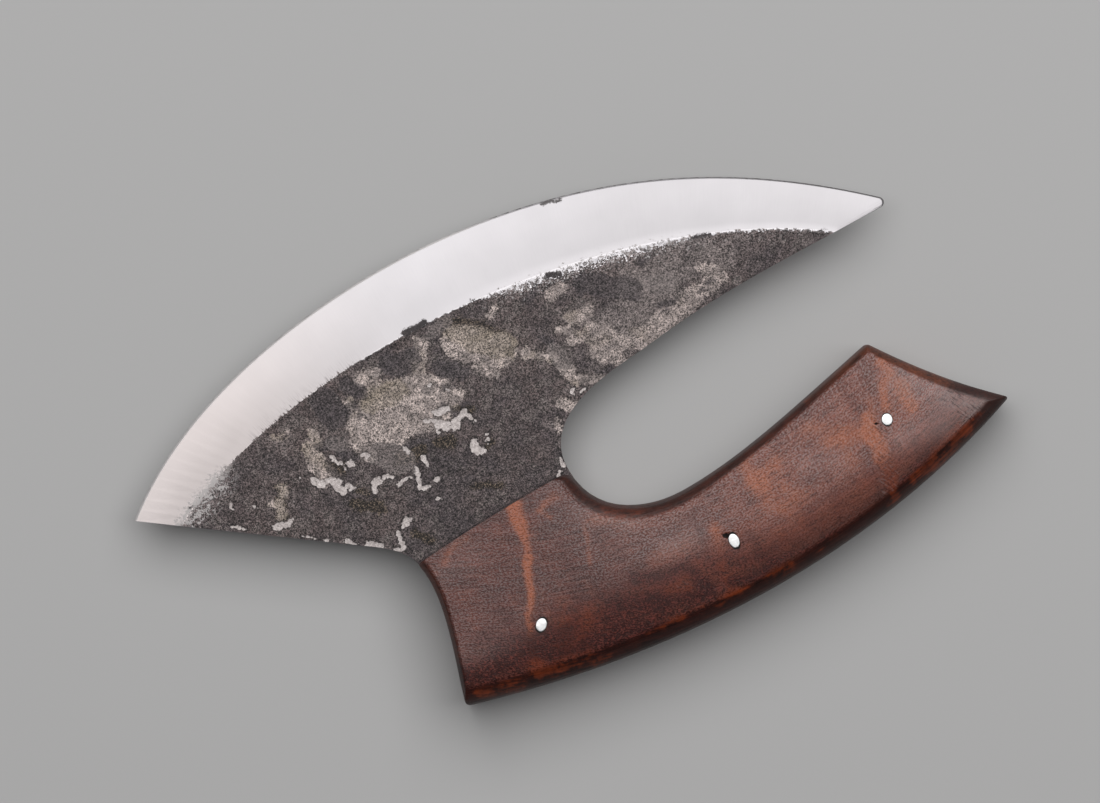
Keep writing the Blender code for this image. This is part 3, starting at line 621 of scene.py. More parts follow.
def steel_paint():
    """Forge scale with flaked patches, and the bright ground bevel along the edge."""
    p = Paint("forged_steel_paint")
    station, from_edge, from_grind = p.field("edge")
    pale, chip, dark = p.field("patches")
    flat_patch, clump, rust = p.field("stains")
    hair_zone, fleck_zone, under = p.field("zones")
    haze = p.field("haze")[0]
    grain = p.noise(2.1, 3.0, 0.85)
    fine = p.noise(3.2, 2.0, 0.8)
    layer = p.noise(0.3, 5.0, 0.62)
    right = p.parts(p.place)[0]
    mottle = p.noise(0.45, 4.0, 0.68)
    broad = p.noise(0.13, 2.0, 0.5)
    wander = p.noise(0.9, 3.0, 0.65)
    bubbles = 0.42 - p.cells(1.15)
    stipple = p.noise(1.5, 2.0, 0.75)
    plate = p.noise(0.55, 3.0, 0.6)
    ragged_line = wander * 1.7 + bubbles * 1.1 + grain * 0.9

    # The flat: dark forge scale with a grain, then its patches.
    scale = p.mix(broad.step(-0.2, 0.2), COOL_SCALE, WARM_SCALE)
    halo = (pale + mottle * 14.0).step(-3.5, 1.0)
    scale.lay(halo * 0.4, HALO)
    flakes = layer.step(0.045, 0.06)
    scale.lay(flakes * p.blend(halo, 0.22, 0.55), FLAKE)
    scale *= 1.0 + layer.step(0.025, 0.04) * layer.step(0.055, 0.04) * -0.35
    thin = (haze + mottle * 1.6 + grain * 0.6).step(0.15, 0.95)
    scale.lay(thin * 0.75, THIN)
    worn = fleck_zone * (from_grind + mottle * 6.0).step(5.5, 0.5)
    scale.lay(worn * 0.5, WORN)
    scale.lay(mottle.step(0.02, 0.15) * 0.28, MOTTLE_LIGHT)
    scale.lay(mottle.step(-0.05, -0.2) * 0.36, MOTTLE_DARK)
    pale_share = (pale + ragged_line).step(-0.2, 0.35)
    shore = (pale + ragged_line).step(-1.1, -0.4) * wander.step(-0.1, 0.1)
    scale *= 1.0 + shore * -0.28
    pale_colour = p.mix(mottle.step(-0.12, 0.12), PALE, PALE_GREY)
    pale_colour.lay(broad.step(0.0, 0.2), PALE_TAN)
    specks = (fine + grain * 0.5 + mottle * 0.5).step(0.1, 0.18)
    pale_colour.lay(specks * 0.65, PALE_SPECK)
    cracks = abs(wander + grain * 0.15).step(0.022, 0.008)
    pale_colour.lay(cracks * mottle.step(-0.05, 0.08) * 0.6, CRACK)
    scale.lay(pale_share * p.blend(right.step(-2.0, 22.0), 0.92, 0.72), pale_colour)
    ragged_plate = plate + grain * 0.04
    scale *= 1.0 + ragged_plate.step(0.075, 0.085) * 0.15
    scale *= 1.0 + ragged_plate.step(-0.085, -0.095) * -0.2
    isle = (layer + grain * 0.05).step(-0.05, -0.07) * pale.step(3.0, 1.0)
    scale.lay(isle * 0.6, ISLE)
    rust_share = (rust + wander * 3.0 + grain * 1.5).step(-0.3, 0.7)
    scale.lay(rust_share * pale.step(-1.0, 0.5) * 0.5, RUST)
    dark_share = (dark + ragged_line).step(-0.1, 0.3)
    scale.lay(dark_share * 0.66, DARK_PLATE)
    olive = p.mix((grain + fine).step(0.05, 0.15), OLIVE_DEEP, OLIVE)
    scale.lay(rust_share * pale.step(0.5, -1.0) * 0.9, olive)
    smooth_share = (flat_patch + wander * 1.2).step(-0.05, 0.2)
    scale.lay(smooth_share * 0.62, EVEN)
    ragged_chip = chip + bubbles * 0.7 + wander * 0.8 + grain * 0.7
    chip_share = ragged_chip.step(-0.04, 0.1)
    busy = pale_share.at_least(haze.step(0.2, 0.8))
    salt = (grain * 4.0 + fine * 15.0) * p.blend(busy, 0.7, 0.55) * p.blend(smooth_share, 1.0, 0.75)
    scale *= (1.06 + salt).at_least(0.12)
    scale *= p.blend(ragged_chip.step(-0.55, -0.15), 1.0, 0.62)
    chip_colour = p.mix((grain + fine * 0.6).step(-0.14, 0.14), CHIP, CHIP_DULL)
    scale.lay(chip_share, chip_colour)
    heel_part = station.step(60.0, 30.0)
    bare = stipple * 0.9 + grain * 0.7 + wander * 0.6 + heel_part * 0.1 + from_grind * -0.03
    bare = fleck_zone * from_grind.step(6.5, 2.5) * bare.step(0.05, 0.09)
    scale.lay(bare * 0.85, BARE)
    dots = p.cells(0.45).step(0.11, 0.07) * mottle.step(-0.05, 0.1)
    scale.lay(dots * 0.7, DOT)
    pits = p.cells(0.62).step(0.1, 0.06)
    scale.lay(pits * 0.8, PIT)

    # The bevel: fine grinding lines run across it, over painted shading across its width and a painted
    # highlight near the grind line.
    across = p.vector(station * 5.0, from_edge * 0.12, under)
    lines = p.noise(1.0, 3.0, 0.6, across)
    soft = p.noise(0.12, 2.0, 0.5)
    ground = p.mix(station.step(20.0, 90.0), GROUND_HEEL, GROUND_TIP)
    inward = from_edge / (from_edge - from_grind)
    # Painted shade across the bevel, and a painted highlight along the grind line.
    bevel_shade = inward.step(0.05, 0.85) * p.blend(station.step(30.0, 90.0), -0.2, -0.1)
    grind_highlight = inward.step(0.82, 0.97) * station.step(70.0, 130.0) * 0.12
    far = station.step(90.0, 150.0) * -0.09
    ground *= 1.03 + lines * 0.1 + soft * 0.12 + bevel_shade + grind_highlight + far
    # Painted shade: darker within half a millimetre of the edge, on the steeper micro-bevel.
    ground.lay(from_edge.step(0.5, 0.3), ground * 0.82)
    # Painted highlight: ground metal on the flat beside the grind line is lighter, like the bevel that faces
    # the lamp.
    ground *= p.blend(from_grind.step(-0.3, 0.15), 1.0, 1.5)
    fringe = p.noise(1.0, 2.0, 0.7, p.vector(station * 4.4, from_edge * 0.22, under))
    fringe = hair_zone * fringe.step(-0.05, 0.2) * from_grind.step(-3.6, -0.2)
    ground.lay(fringe * 0.55, FRINGE)

    # The ragged line between them, hairy or flecked in places.
    hairs = p.noise(1.0, 2.0, 0.7, p.vector(station * 3.2, from_edge * 0.25, under))
    hairs = hair_zone * hairs.step(0.0, 0.32) * 1.5
    flecks = stipple * p.blend(fleck_zone, 0.3, 9.0) + grain * p.blend(fleck_zone, 0.9, 7.0)
    edge = from_grind + hairs + flecks + wander * p.blend(fleck_zone, 0.9, 2.6)
    flat_share = (edge + fleck_zone * p.blend(heel_part, -0.8, 0.7)).step(-0.12, 0.12)
    clump_share = (clump + grain * 1.8 + fine).step(-0.05, 0.1)
    flat_share = flat_share.at_least(clump_share)
    scale.lay(clump_share * 0.8, CLUMP)

    # The edges of the forging show bare metal.
    level = abs(p.parts(p.node("TexCoord", {}, "Normal"))[2])
    rim = level.step(0.93, 0.85) * from_grind.step(-0.4, 0.1)
    wall = rim * level.step(0.5, 0.4)
    rim_colour = p.mix(wall, RIM, WALL)
    scale.lay(rim * wander.step(-0.25, 0.05), rim_colour)
    colour = p.mix(flat_share, ground, scale)
    shine = p.blend(chip_share, 0.25, 0.7)
    shine = p.blend(rim, shine, 0.85)
    micro = from_edge.step(0.55, 0.4) * station.step(118.0, 92.0)
    colour.lay(micro, MICRO_BEVEL)
    metal = p.blend(flat_share, p.blend(micro, 1.0, 0.15), shine)
    gloss = p.blend(smooth_share, 0.62, 0.42)
    gloss = p.blend(chip_share, gloss, 0.4)
    roughness = p.blend(flat_share, 0.33 + lines * 0.08, gloss)
    height = grain + fine * 0.6 + pale_share * -0.6 + chip_share * -0.5 + pits * -0.8
    p.bump(flat_share * height + lines * 0.05, 0.6, 0.06)
    return p.finish(Base_Color=colour, Metallic=metal, Roughness=roughness)


def wood_paint():
    """Oiled red-brown wood with an amber curl, dusky clouds, fine silky fibres with a painted sheen, and
    painted shade toward the palm.
    """
    p = Paint("curly_wood_paint")
    amber, dusk, void = p.field("figure")
    along, across, depth = p.field("grain")
    fall, curled, shade = p.field("shape")
    # Where a painted sheen lightens the wood.
    painted_sheen = p.field("painted_sheen")[0].at_most(1.6)
    lines = p.noise(1.5, 4.0, 0.65, p.vector(along * 0.1, across, depth))
    broad = p.noise(0.22, 3.0, 0.55, p.vector(along * 0.45, across, depth))
    curl = p.noise(1.0, 3.0, 0.6, p.vector(along * 0.22, across * 0.09, depth * 0.16))
    silk = p.noise(2.9, 2.0, 0.8, p.vector(along * 0.65, across, depth))
    clots = p.noise(0.8, 3.0, 0.7)
    wander = p.noise(0.32, 4.0, 0.65)
    dusky = dusk.at_most(1.0)

    # Ground colour, redder at the front and warmer toward the butt, with curl across the grain.
    front = p.mix(broad.step(-0.2, 0.2), WOOD_FRONT_DEEP, WOOD_FRONT)
    rear = p.mix(broad.step(-0.2, 0.2), WOOD_REAR_DEEP, WOOD_REAR)
    body = p.mix(along.step(86.0, 140.0), front, rear)
    body.lay(curl.step(0.0, 0.25) * 0.4, WOOD_BRIGHT)
    body.lay(curl.step(-0.02, -0.2) * 0.35, WOOD_DARK)
    line_depth = p.blend(along.step(86.0, 120.0), 2.1, 1.5)
    body *= (1.0 + lines * line_depth).at_least(0.3)
    # Painted shade: darker toward the palm, where the crowned flat turns from the light.
    body *= p.blend(shade * shade, 1.0, 0.34)
    # Painted sheen: lighter where the lamp's reflection is painted in.
    body *= p.blend(painted_sheen, 1.0, 1.45)

    # Amber marks with soft ends, and dusky ones broken into clots.
    amber_share = amber * (1.0 + wander * 1.6 + clots * 1.6 + lines * 1.6 + silk)
    # In the palm's painted shade the amber is fainter, and below it darker and redder.
    amber_share = (amber_share + wander * 0.25).step(0.02, p.blend(shade.step(0.1, 0.4), 0.86, 1.1))
    amber_colour = p.mix((lines + clots).step(-0.25, 0.25), AMBER, AMBER_DEEP)
    amber_colour.lay(shade.step(0.15, 0.75), AMBER_SHADED)
    body.lay(amber_share * 0.88, amber_colour)
    dusk_share = dusk * (1.0 + clots * 4.5 + wander * 1.5 + silk * 4.0)
    dusk_share = (dusk_share + wander * 0.3).step(0.1, 0.85)
    body.lay(dusk_share * 0.88, DUSK)

    # Painted sheen: fine grey specks on the silky fibres stand for the light's reflection between the dark
    # pores, with less of it in the palm's painted shade.
    thread = silk + lines * 0.15
    palm = shade.step(0.15, 0.7)
    sheen_speck = thread.step(-0.05, 0.1)
    sheen_speck = sheen_speck * p.blend(dusky, 0.5, 0.18) * p.blend(palm, 1.0, 0.2)
    sheen_speck = sheen_speck * p.blend(amber_share, 1.0, 0.75) * p.blend(painted_sheen, 1.0, 1.5)
    body.lay(sheen_speck * p.blend(along.step(78.0, 110.0), 0.72, 1.0), SHEEN_GREY)
    pore = thread.step(p.blend(dusky, -0.03, 0.03), p.blend(dusky, -0.14, -0.08))
    body.lay(pore * p.blend(dusky, 0.76, 0.92) * p.blend(amber_share, 1.0, 0.85), PORE)
    dark_zone = dusk_share.at_least(palm * p.blend(along.step(116.0, 136.0), 1.0, 0.2))
    spots = silk + clots * 0.6
    warm = spots.step(0.0, 0.15) * dark_zone * p.blend(amber_share, 1.0, 0.3)
    body.lay(warm * 0.66, WARM)
    cold = spots.step(-0.02, -0.12) * dark_zone
    body.lay(cold * 0.95, PORE)
    seam = abs(p.noise(1.2, 3.0, 0.55, p.vector(along * 0.13, across + 7.0, depth)))
    seam = seam.step(0.035, 0.0) * (wander + curl * 0.6).step(-0.12, 0.1)
    body.lay(seam * 0.6, PORE)
    # Painted sheen: a grey veil where the reflection falls.
    body.lay(painted_sheen * 0.2, SHEEN_GREY)
    x, y, _ = p.parts(p.place)
    slant = x * 2.1 + y * 1.42 + wander * 2.5
    slant = p.vector(x * 0.25 + y * -0.37, slant, depth)
    strands = p.noise(1.0, 2.0, 0.6, slant)
    zone = (curled + wander * 0.8).step(0.15, 0.6)
    butt = along.step(170.0, 178.0)
    body.lay(zone * (strands + butt * 0.03).step(0.07, 0.15) * p.blend(butt, 0.55, 0.66), PORE)
    # Painted sheen: lighter strands in the same grey.
    body.lay(zone * strands.step(-0.03, -0.14) * 0.2, SHEEN_GREY)

    # The rounded sides are painted darker as shade, turned from the light: darkest at the palm and lighter at
    # the butt, which faces it; with a glow where the figure reaches them.
    side = fall.step(0.02, 0.5)
    glow = amber * (1.0 + lines * 1.8 + clots * 3.0 + wander * 2.0 + curl * 3.0)
    glow = (glow + curl * 0.8 + wander * 0.5 + lines * 0.3).step(0.12, 1.2)
    # Painted shade: the glow fades where the side turns steeply away.
    glow = glow * p.blend(fall.step(1.5, 5.0), 1.0, 0.35)
    deep = p.mix(along.step(150.0, 168.0), SIDE_FINGER_SHADE, SIDE_BUTT_LIT)
    deep.lay(shade.step(0.1, 0.5), SIDE_PALM_SHADE)
    deep.lay(glow, p.mix(palm, SIDE_GLOW, SIDE_GLOW_SHADED))
    deep *= (1.0 + lines * 3.2 + curl * 2.4).at_least(0.2)
    body.lay(side * 0.9, deep)
    # Near black in the voids, and painted shade in the gap round each head.
    void_share = void.step(0.0, 0.08)
    body.lay(void_share, VOID)
    roughness = p.blend(along.step(62.0, 130.0), 0.22, 0.33)
    roughness = roughness + shade.step(0.02, 0.45) * -0.11 + dusk_share * -0.03
    roughness = p.blend(fall.step(0.3, 1.5), roughness, 0.5) + painted_sheen * 0.05
    height = lines * 0.4 + silk * 1.2 + pore * -0.3
    p.bump(height * p.blend(palm, 1.0, 0.45), 0.8, 0.06)
    return p.finish(Base_Color=body, Roughness=p.blend(void_share, roughness, 0.8), IOR=1.47)


def glue_paint():
    """Dark epoxy that has set with small waves and dust in it."""
    p = Paint("epoxy_paint")
    wave = p.noise(0.8, 3.0, 0.55)
    colour = p.mix(wave.step(-0.2, 0.2), GLUE_DEEP, GLUE)
    p.bump(wave, 0.4, 0.05)
    return p.finish(Base_Color=colour, Roughness=0.3 + wave * 0.15)


def pin_paint():
    """Pale metal, sanded flush, with fine scratches one way."""
    p = Paint("pin_metal_paint")
    x, y, z = p.parts(p.place)
    scratch = p.noise(1.0, 3.0, 0.7, p.vector(x * 1.2, y * 14.0, z * 2.0))
    dull = p.noise(1.6, 2.0, 0.5)
    colour = p.mix(dull.step(-0.2, 0.25), PIN_BRIGHT, PIN_DULL)
    p.bump(scratch + dull * 0.5, 0.35, 0.02)
    return p.finish(Base_Color=colour, Metallic=1.0, Roughness=0.36 + scratch * 0.2)


def wide_loop(node, top):
    """The outline of a scale's flat face, the upper one where top is true."""
    bm = copy_of(node)
    want = 1.0 if top else -1.0
    faces = {f for f in bm.faces if f.normal.z * want > FLAT_LEVEL}
    # The chain starts at the lowest x, on the outer outline, and so leaves the pin holes out.
    loop = chain([e for e in bm.edges if sum(f in faces for f in e.link_faces) == 1])
    bm.free()
    return loop


def blade_lines(bm, handle):
    """The cutting edge and the upper grind line, and the edges that a chamfer goes on."""
    kinds = {f: next(kind for kind, bound in FACE_KINDS if abs(f.normal.z) > bound) for f in bm.faces}
    apex = []
    grind = []
    arris = []
    for edge in bm.edges:
        heights = [(v.co.z / MM) - MIDDLE for v in edge.verts]
        pair = {kinds[f] for f in edge.link_faces}
        if max(map(abs, heights)) < TOUCH:
            apex.append(edge)
        if pair == {"flat", "bevel"} and min(heights) > 0.0:
            grind.append(edge)
        if len(pair) > 1:
            edge.smooth = False
        if "wall" in pair and len(pair) > 1 and min(map(abs, heights)) > ARRIS_HEIGHT:
            arris.append(edge)
    hidden = inside(handle, np.array([e.verts[0].co[:2] for e in arris]) / MM)
    return chain(apex), chain(grind), [e for e, under in zip(arris, hidden) if not under]


def relief(field, pale, chip):
    """How far hammer marks, flaked patches and pits lie below the true flat, never above it."""
    depth = 0.05 + 0.04 * lattice(field, 12.0, 5) + 0.02 * lattice(field, 6.0, 6)
    depth += 0.025 * smooth(pale, -0.3, 0.5) + 0.03 * smooth(chip, -0.2, 0.3)
    return depth + 0.05 * smooth(lattice(field, 1.9, 15), 0.62, 0.9)


def make_blade(material, handle):
    bm = copy_of("blade")
    apex, grind, arris = blade_lines(bm, handle)
    bmesh.ops.bevel(bm, geom=arris, offset=ARRIS_CHAMFER * MM, segments=1, affect="EDGES", clamp_overlap=True)
    heel = apex[apex[:, 0].argmin()]
    slice_up(bm, BLADE_CUTS, (0, 1))
    mesh = finer_mesh(bm, "forged_blade")

    p = places(mesh)
    plan = p[:, :2]
    spot = plan - heel
    upper = p[:, 2] > MIDDLE
    from_edge, station = nearest_on(apex, plan)
    from_grind, _ = nearest_on(grind, plan)
    from_grind = np.where(inside(np.concatenate((apex, grind[::-1])), plan), -from_grind, from_grind)
    from_handle, _ = nearest_on(np.concatenate((handle, handle[:1])), plan)
    from_handle = np.where(inside(handle, plan), -from_handle, from_handle)

    # The underside gets marks of its own, from noise alone: its cell, seed, size and least height.
    pushed = ragged(spot, 3.2, 1.0, 3)
    small = ragged(spot, 1.6, 0.45, 9)
    under = spot + np.array((400.0, 0.0))

    def both_sides(points, rows, cell, seed, size, least):
        return np.where(upper, marks(points, rows), size * (cloud(under, cell, seed) - least))

    pale = both_sides(pushed, PALE_SPOTS, 16.0, 21, 14.0, 0.22)
    chip = both_sides(small, CHIPS_SPOTS, 4.0, 41, 4.0, 0.55)
    dark = both_sides(pushed, DARKS_SPOTS, 8.0, 61, 8.0, 0.42)
    even = both_sides(pushed, SMOOTH_SPOTS, 10.0, 81, 10.0, 0.55)
    rust = both_sides(pushed, RUST_SPOTS, 9.0, 101, 8.0, 0.4)
    clump = np.where(upper, marks(small, CLUMPS_SPOTS), -5.0)
    x = spot[:, 0]
    hair = smooth(x, 27.0, 35.0) * (1.0 - smooth(x, 56.0, 66.0))
    tip_fleck = smooth(x, 88.0, 104.0) * (1.0 - 0.8 * smooth(x, 128.0, 150.0))
    fleck = np.maximum(1.0 - smooth(x, 20.0, 28.0), tip_fleck)
    put_field(mesh, "edge", station, from_edge, from_grind)
    put_field(mesh, "patches", pale, chip, dark)
    put_field(mesh, "stains", even, clump, rust)
    put_field(mesh, "zones", hair, fleck, np.where(upper, 0.0, 7.0))
    haze = np.where(upper, soft_marks(pushed, HAZE_SPOTS), 0.8 * smooth(cloud(under, 22.0, 121), 0.0, 0.6))
    put_field(mesh, "haze", haze)
    depth = relief(spot + np.where(upper, 0.0, 300.0)[:, None], pale, chip)
    depth *= smooth(from_grind, 0.0, 1.5) * smooth(from_handle, 0.3, 1.5)
    p[:, 2] -= (p[:, 2] - MIDDLE) * depth / BLADE_HALF
    put_places(mesh, p)
    add_piece(mesh, "forged_blade", "blade", material)
    return heel


def pin_reach(angle, wide, long, lean):
    """An ellipse's radius in a direction. Lean turns its long side from the row's y."""
    turned = angle - math.radians(lean)
    return wide * long / np.sqrt((long * np.cos(turned)) ** 2 + (wide * np.sin(turned)) ** 2)


def pin_middle(node):
    low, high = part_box(node)
    return np.array(((low[0] + high[0]) / 2.0, (low[1] + high[1]) / 2.0)) / MM


def side_line(rim, heel, corner):
    """The side of a flat face from a corner to the butt's end, the shorter way round."""
    start = lengths(rim - heel - corner).argmin()
    end = lengths(rim - heel - BUTT_END).argmin()
    ring = np.roll(rim, -start, axis=0)
    steps = (end - start) % len(rim)
    one = ring[:steps + 1]
    other = np.concatenate((ring[steps:], ring[:1]))
    return min((one, other), key=lambda line: lengths(np.diff(line, axis=0)).sum())


def palm_reach(x):
    """How far the crown reaches in from the palm, x along the knife."""
    reach = 7.0 + 11.0 * smooth(x, 58.0, 84.0) * (1.0 - 0.5 * smooth(x, 108.0, 140.0))
    return reach - 2.0 * smooth(x, 140.0, 165.0)


def wider_rounding(rim, heel, plan, away):
    """How far places near the finger side and the butt move inward, to widen the rounding there."""
    line = side_line(rim, heel, THROAT)
    run = np.diff(line, axis=0)
    middle = 0.5 * (line[1:] + line[:-1])
    length = lengths(run)
    normal = np.stack((-run[:, 1], run[:, 0]), axis=1) / length[:, None]
    normal *= np.sign(((heel + HANDLE_MIDDLE - middle) * normal).sum(1).mean())
    inward = np.zeros_like(plan)
    for batch in batches(plan):
        gaps = lengths(plan[batch, None, :] - middle)
        gaps -= gaps.min(1)[:, None]
        weight = length * np.exp(-(gaps / 2.0) ** 2)
        inward[batch] = weight @ normal / weight.sum(1)[:, None]
    gap, _ = nearest_on(line, plan)
    x = plan[:, 0] - heel[0]
    amount = (0.30 + 0.40 * (1.0 - smooth(x, 108.0, 130.0))) * smooth(x, 90.0, 98.0)
    amount = amount * smooth(lengths(plan - heel - BUTT_END), 3.0, 14.0)
    amount = amount * smooth(away, 2.5, 8.0) * (1.0 - smooth(gap, 2.5, 10.0))
    return inward * amount[:, None]


def closeness(gap, reach):
    """1 on a line and 0 from the reach on."""
    return np.clip(1.0 - gap / reach, 0.0, 1.0)


def crown(rim, heel, plan):
    """How far a scale's flat has sunk at each place, because it is slightly rounded across."""
    from_palm, _ = nearest_on(side_line(rim, heel, PALM_CORNER), plan)
    from_finger, _ = nearest_on(side_line(rim, heel, THROAT), plan)
    from_rim, _ = nearest_on(np.concatenate((rim, rim[:1])), plan)
    reach = palm_reach(plan[:, 0] - heel[0])
    drop = 0.5 * PALM_SLOPE * reach * closeness(from_palm, reach) ** 2
    drop += 0.5 * FINGER_SLOPE * FINGER_REACH * closeness(from_finger, FINGER_REACH) ** 2
    return drop + RIM_DROP * closeness(from_rim, RIM_REACH) ** 2


def fine_scale(node, name, centres, top):
    """A scale's mesh, cut up finely, and the more so round the upper one's voids."""
    bm = copy_of(node)
    for edge in bm.edges:
        if len(edge.link_faces) == 2 and edge.calc_face_angle() > math.radians(20.0):
            edge.smooth = False
    slice_up(bm, SCALE_CUTS, (0, 1))
    slice_up(bm, SIDE_CUTS, (2,))
    if top:
        tops = {v for v in bm.verts if v.co.z > TOP_LEVEL * MM}
        middles = [centre * MM for centre in centres[1:]]
        close = {v for v in tops if min(math.dist(v.co[:2], c) for c in middles) < VOID_REACH * MM}
        near = [e for e in bm.edges if close.intersection(e.verts) and tops.issuperset(e.verts)]
        bmesh.ops.subdivide_edges(bm, edges=near, cuts=3, use_grid_fill=True)
    return finer_mesh(bm, name)


def smooth_sides(mesh, p, away, centres):
    """Evens out the sides between the flats, so that the rounding shows no facets."""
    free = (away < SCALE_TOP - TOUCH) & (away > TANG_SIDE)
    for centre in centres:
        free &= lengths(p[:, :2] - centre) > PIN_CLEAR
    pairs = np.empty(len(mesh.edges) * 2, dtype=np.int32)
    mesh.edges.foreach_get("vertices", pairs)
    a, b = pairs.reshape(-1, 2).T
    count = np.bincount(pairs, minlength=len(p))
    for _ in range(SMOOTH_TURNS):
        total = np.zeros_like(p)
        np.add.at(total, a, p[b])
        np.add.at(total, b, p[a])
        middle = total / np.maximum(count, 1)[:, None]
        p[free] += 0.5 * (middle - p)[free]


def fit_holes(p, away, centres, top):
    """Gives the holes the heads' shapes. Returns a field above 0 in the gap round a head, where the wood is
    painted dark as its shade.
    """
    void = np.full(len(p), -5.0)
    sink = smooth(away, SCALE_TOP - 3.0, SCALE_TOP - 0.2)
    for centre, head in zip(centres, PIN_HEADS):
        local = p[:, :2] - centre
        r = np.maximum(lengths(local), 1e-6)
        shape = head[1:4] if top else head[4:7]
        reach = pin_reach(np.arctan2(local[:, 1], local[:, 0]), *shape) + HEAD_GAP
        void = np.maximum(void, np.where(away > SCALE_TOP - 1.0, 1.0 - (r - reach) / HEAD_GAP_FADE, -5.0))
        grow = (reach - HOLE_RADIUS) * (1.0 - smooth(r, HOLE_RADIUS, 4.0)) * sink
        p[:, :2] += local / r[:, None] * grow[:, None]
    return void


def sink_voids(p, spot, away, void):
    """Sinks the voids into the upper scale. Returns the field with them added."""
    for x, y, long, wide, lean, deep in VOIDS:
        c, s = math.cos(math.radians(lean)), math.sin(math.radians(lean))
        local = spot - np.array((x, y))
        u = (local[:, 0] * c + local[:, 1] * s) / long
        w = (-local[:, 0] * s + local[:, 1] * c) / wide
        share = 1.0 - np.sqrt(u * u + w * w) + 0.25 * lattice(spot, 0.5, 77)
        share = np.where(away > SCALE_TOP - 0.05, share, -1.0)
        void = np.maximum(void, share)
        p[:, 2] -= deep * smooth(share, -0.05, 0.5)
    return void


def make_scale(node, name, material, heel, top):
    rim = wide_loop(node, top)
    centres = [pin_middle(head[0]) for head in PIN_HEADS]
    mesh = fine_scale(node, name, centres, top)
    p = places(mesh)
    away = np.abs(p[:, 2] - MIDDLE)
    smooth_sides(mesh, p, away, centres)
    p[:, :2] += wider_rounding(rim, heel, p[:, :2], away)
    spot = p[:, :2] - heel
    pushed = ragged(spot, 5.0, 1.3, 203)
    from_palm, _ = nearest_on(side_line(rim, heel, PALM_CORNER), p[:, :2])
    # How far into the painted shade of the palm side a place lies.
    shade = closeness(from_palm, 1.15 * palm_reach(spot[:, 0]))
    amber = soft_marks(pushed, AMBER_SPOTS if top else UNDER_AMBER_SPOTS)
    dusk = soft_marks(pushed, DUSK_SPOTS if top else UNDER_DUSK_SPOTS)
    curled = soft_marks(spot, CURL_SPOTS if top else UNDER_CURL_SPOTS)
    put_field(mesh, "shape", SCALE_TOP - away, curled, shade)
    # The lines of the grain lean at the front and follow the handle further back.
    x = spot[:, 0]
    across = spot[:, 1] + 0.42 * (x - 55.0) - 0.00325 * (x - 55.0) ** 2
    put_field(mesh, "grain", x, across, p[:, 2] + (0.0 if top else 90.0))
    void = fit_holes(p, away, centres, top)
    if top:
        void = sink_voids(p, spot, away, void)
    wave = 0.02 * (1.0 + lattice(spot, 14.0, 303 if top else 313)) + crown(rim, heel, p[:, :2])
    p[:, 2] -= (p[:, 2] - MIDDLE) * wave / SCALE_TOP * smooth(away, 4.0, 9.0)
    put_field(mesh, "figure", amber, dusk, void)
    # Where the painted sheen falls.
    put_field(mesh, "painted_sheen", soft_marks(spot, PAINTED_SHEEN_SPOTS))
    put_places(mesh, p)
    add_piece(mesh, name, node, material)


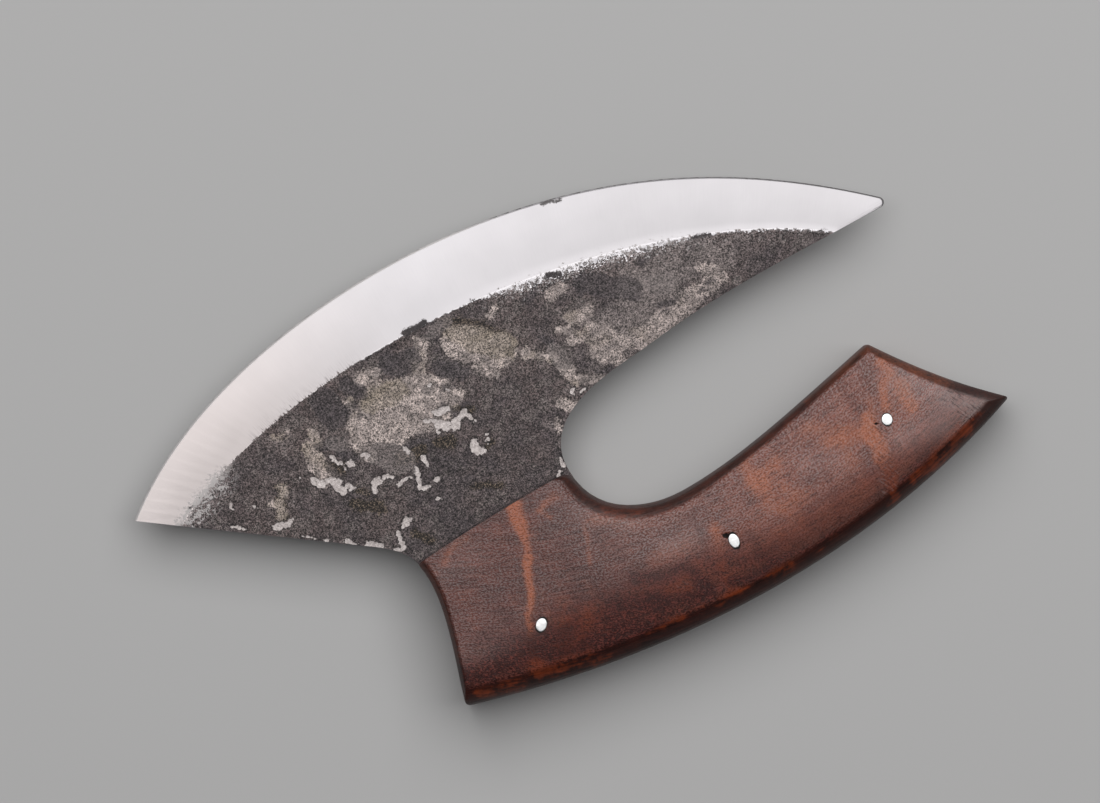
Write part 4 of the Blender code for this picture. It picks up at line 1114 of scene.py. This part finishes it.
def make_pin(head, sunk, material):
    """A rod, round in the wood, whose ends spread into uneven, slightly domed heads."""
    node = head[0]
    centre = pin_middle(node)
    low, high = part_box(node)
    ends = ((head[4:7], low[2] / MM + sunk, 1.0, 0), (head[1:4], high[2] / MM - sunk, -1.0, 50))
    angles = np.arange(PIN_SIDES) * 2.0 * math.pi / PIN_SIDES
    round_points = np.stack((np.cos(angles), np.sin(angles)), axis=1)
    bm = bmesh.new()
    loops = []
    for shape, level, inward, more in ends:
        seed = 500 + int(head[1] * 100) + more
        end = []
        for share, depth, size in PIN_RINGS:
            if size == 0.0:
                end.append([bm.verts.new((*centre * MM, (level + inward * TOUCH) * MM))])
                continue
            reach = share * pin_reach(angles, *shape) + (1.0 - share) * PIN_RADIUS
            reach *= size * (1.0 + 0.02 * share * lattice(round_points * 2.0 + 9.0, 1.0, seed))
            dent = np.zeros(PIN_SIDES)
            if share and size < 1.0:
                dent = 0.02 * (1.0 + lattice(round_points * size * 1.5 + 5.0, 1.0, seed + 9))
            heights = level + inward * (depth + dent)
            end.append([bm.verts.new(((centre[0] + x * r) * MM, (centre[1] + y * r) * MM, z * MM))
                        for (x, y), r, z in zip(round_points, reach, heights)])
        loops.append(end)
    order = loops[0] + loops[1][::-1]
    for first, second in zip(order, order[1:]):
        for i in range(PIN_SIDES):
            corners = ((first, i), (first, i + 1), (second, i + 1), (second, i))
            # A ring of one point, the middle of a head, gives triangles.
            bm.faces.new(list(dict.fromkeys(ring[k % len(ring)] for ring, k in corners)))
    bmesh.ops.recalc_face_normals(bm, faces=bm.faces[:])
    add_piece(mesh_of(bm, node + "_head"), node.replace("_pin", "_rod"), node, material)


def make_stage():
    """A pale floor, one large soft light overhead and the camera straight above."""
    bm = bmesh.new()
    bmesh.ops.create_grid(bm, x_segments=1, y_segments=1, size=FLOOR_HALF)
    floor = add_object("floor", mesh_of(bm, "floor"))
    floor.data.materials.append(Paint("floor_paint").finish(Base_Color=FLOOR_COLOUR, Roughness=0.9))

    turn = math.radians(TURN)
    c, s = math.cos(turn), math.sin(turn)
    data = bpy.data.cameras.new("camera")
    data.lens = LENS
    data.sensor_width = SENSOR_WIDTH
    camera = add_object("camera", data)
    camera.location = VIEW_MIDDLE + (0.0, 0.0, CAMERA_HEIGHT)
    camera.rotation_euler = (0.0, 0.0, turn)
    bpy.context.scene.camera = camera

    lamp = bpy.data.lights.new("softbox", "AREA")
    lamp.shape = "RECTANGLE"
    lamp.size = LAMP_WIDTH
    lamp.size_y = LAMP_DEPTH
    lamp.energy = LAMP_STRENGTH * math.pi * LAMP_WIDTH * LAMP_DEPTH
    box = add_object("softbox", lamp)
    box.location = VIEW_MIDDLE + (LAMP_RIGHT * c - LAMP_UP * s, LAMP_RIGHT * s + LAMP_UP * c, LAMP_HEIGHT)
    box.rotation_euler = (0.0, 0.0, turn)
    box.visible_camera = False

    world = bpy.data.worlds.new("studio")
    world.use_nodes = True
    world.node_tree.nodes["Background"].inputs["Color"].default_value = WORLD_COLOUR
    bpy.context.scene.world = world
    bpy.context.scene.view_settings.view_transform = "Standard"


def main():
    make_stage()
    handle = wide_loop("upper_scale", False)
    heel = make_blade(steel_paint(), handle)
    wood = wood_paint()
    make_scale("upper_scale", "upper_wood", wood, heel, True)
    make_scale("lower_scale", "lower_wood", wood, heel, False)
    metal = pin_paint()
    rim = wide_loop("upper_scale", True)
    for head in PIN_HEADS:
        make_pin(head, crown(rim, heel, pin_middle(head[0])[None])[0], metal)
    glue = glue_paint()
    for node in ("upper_glue_line", "lower_glue_line"):
        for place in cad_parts[node].material_slots:
            place.material = glue


main()
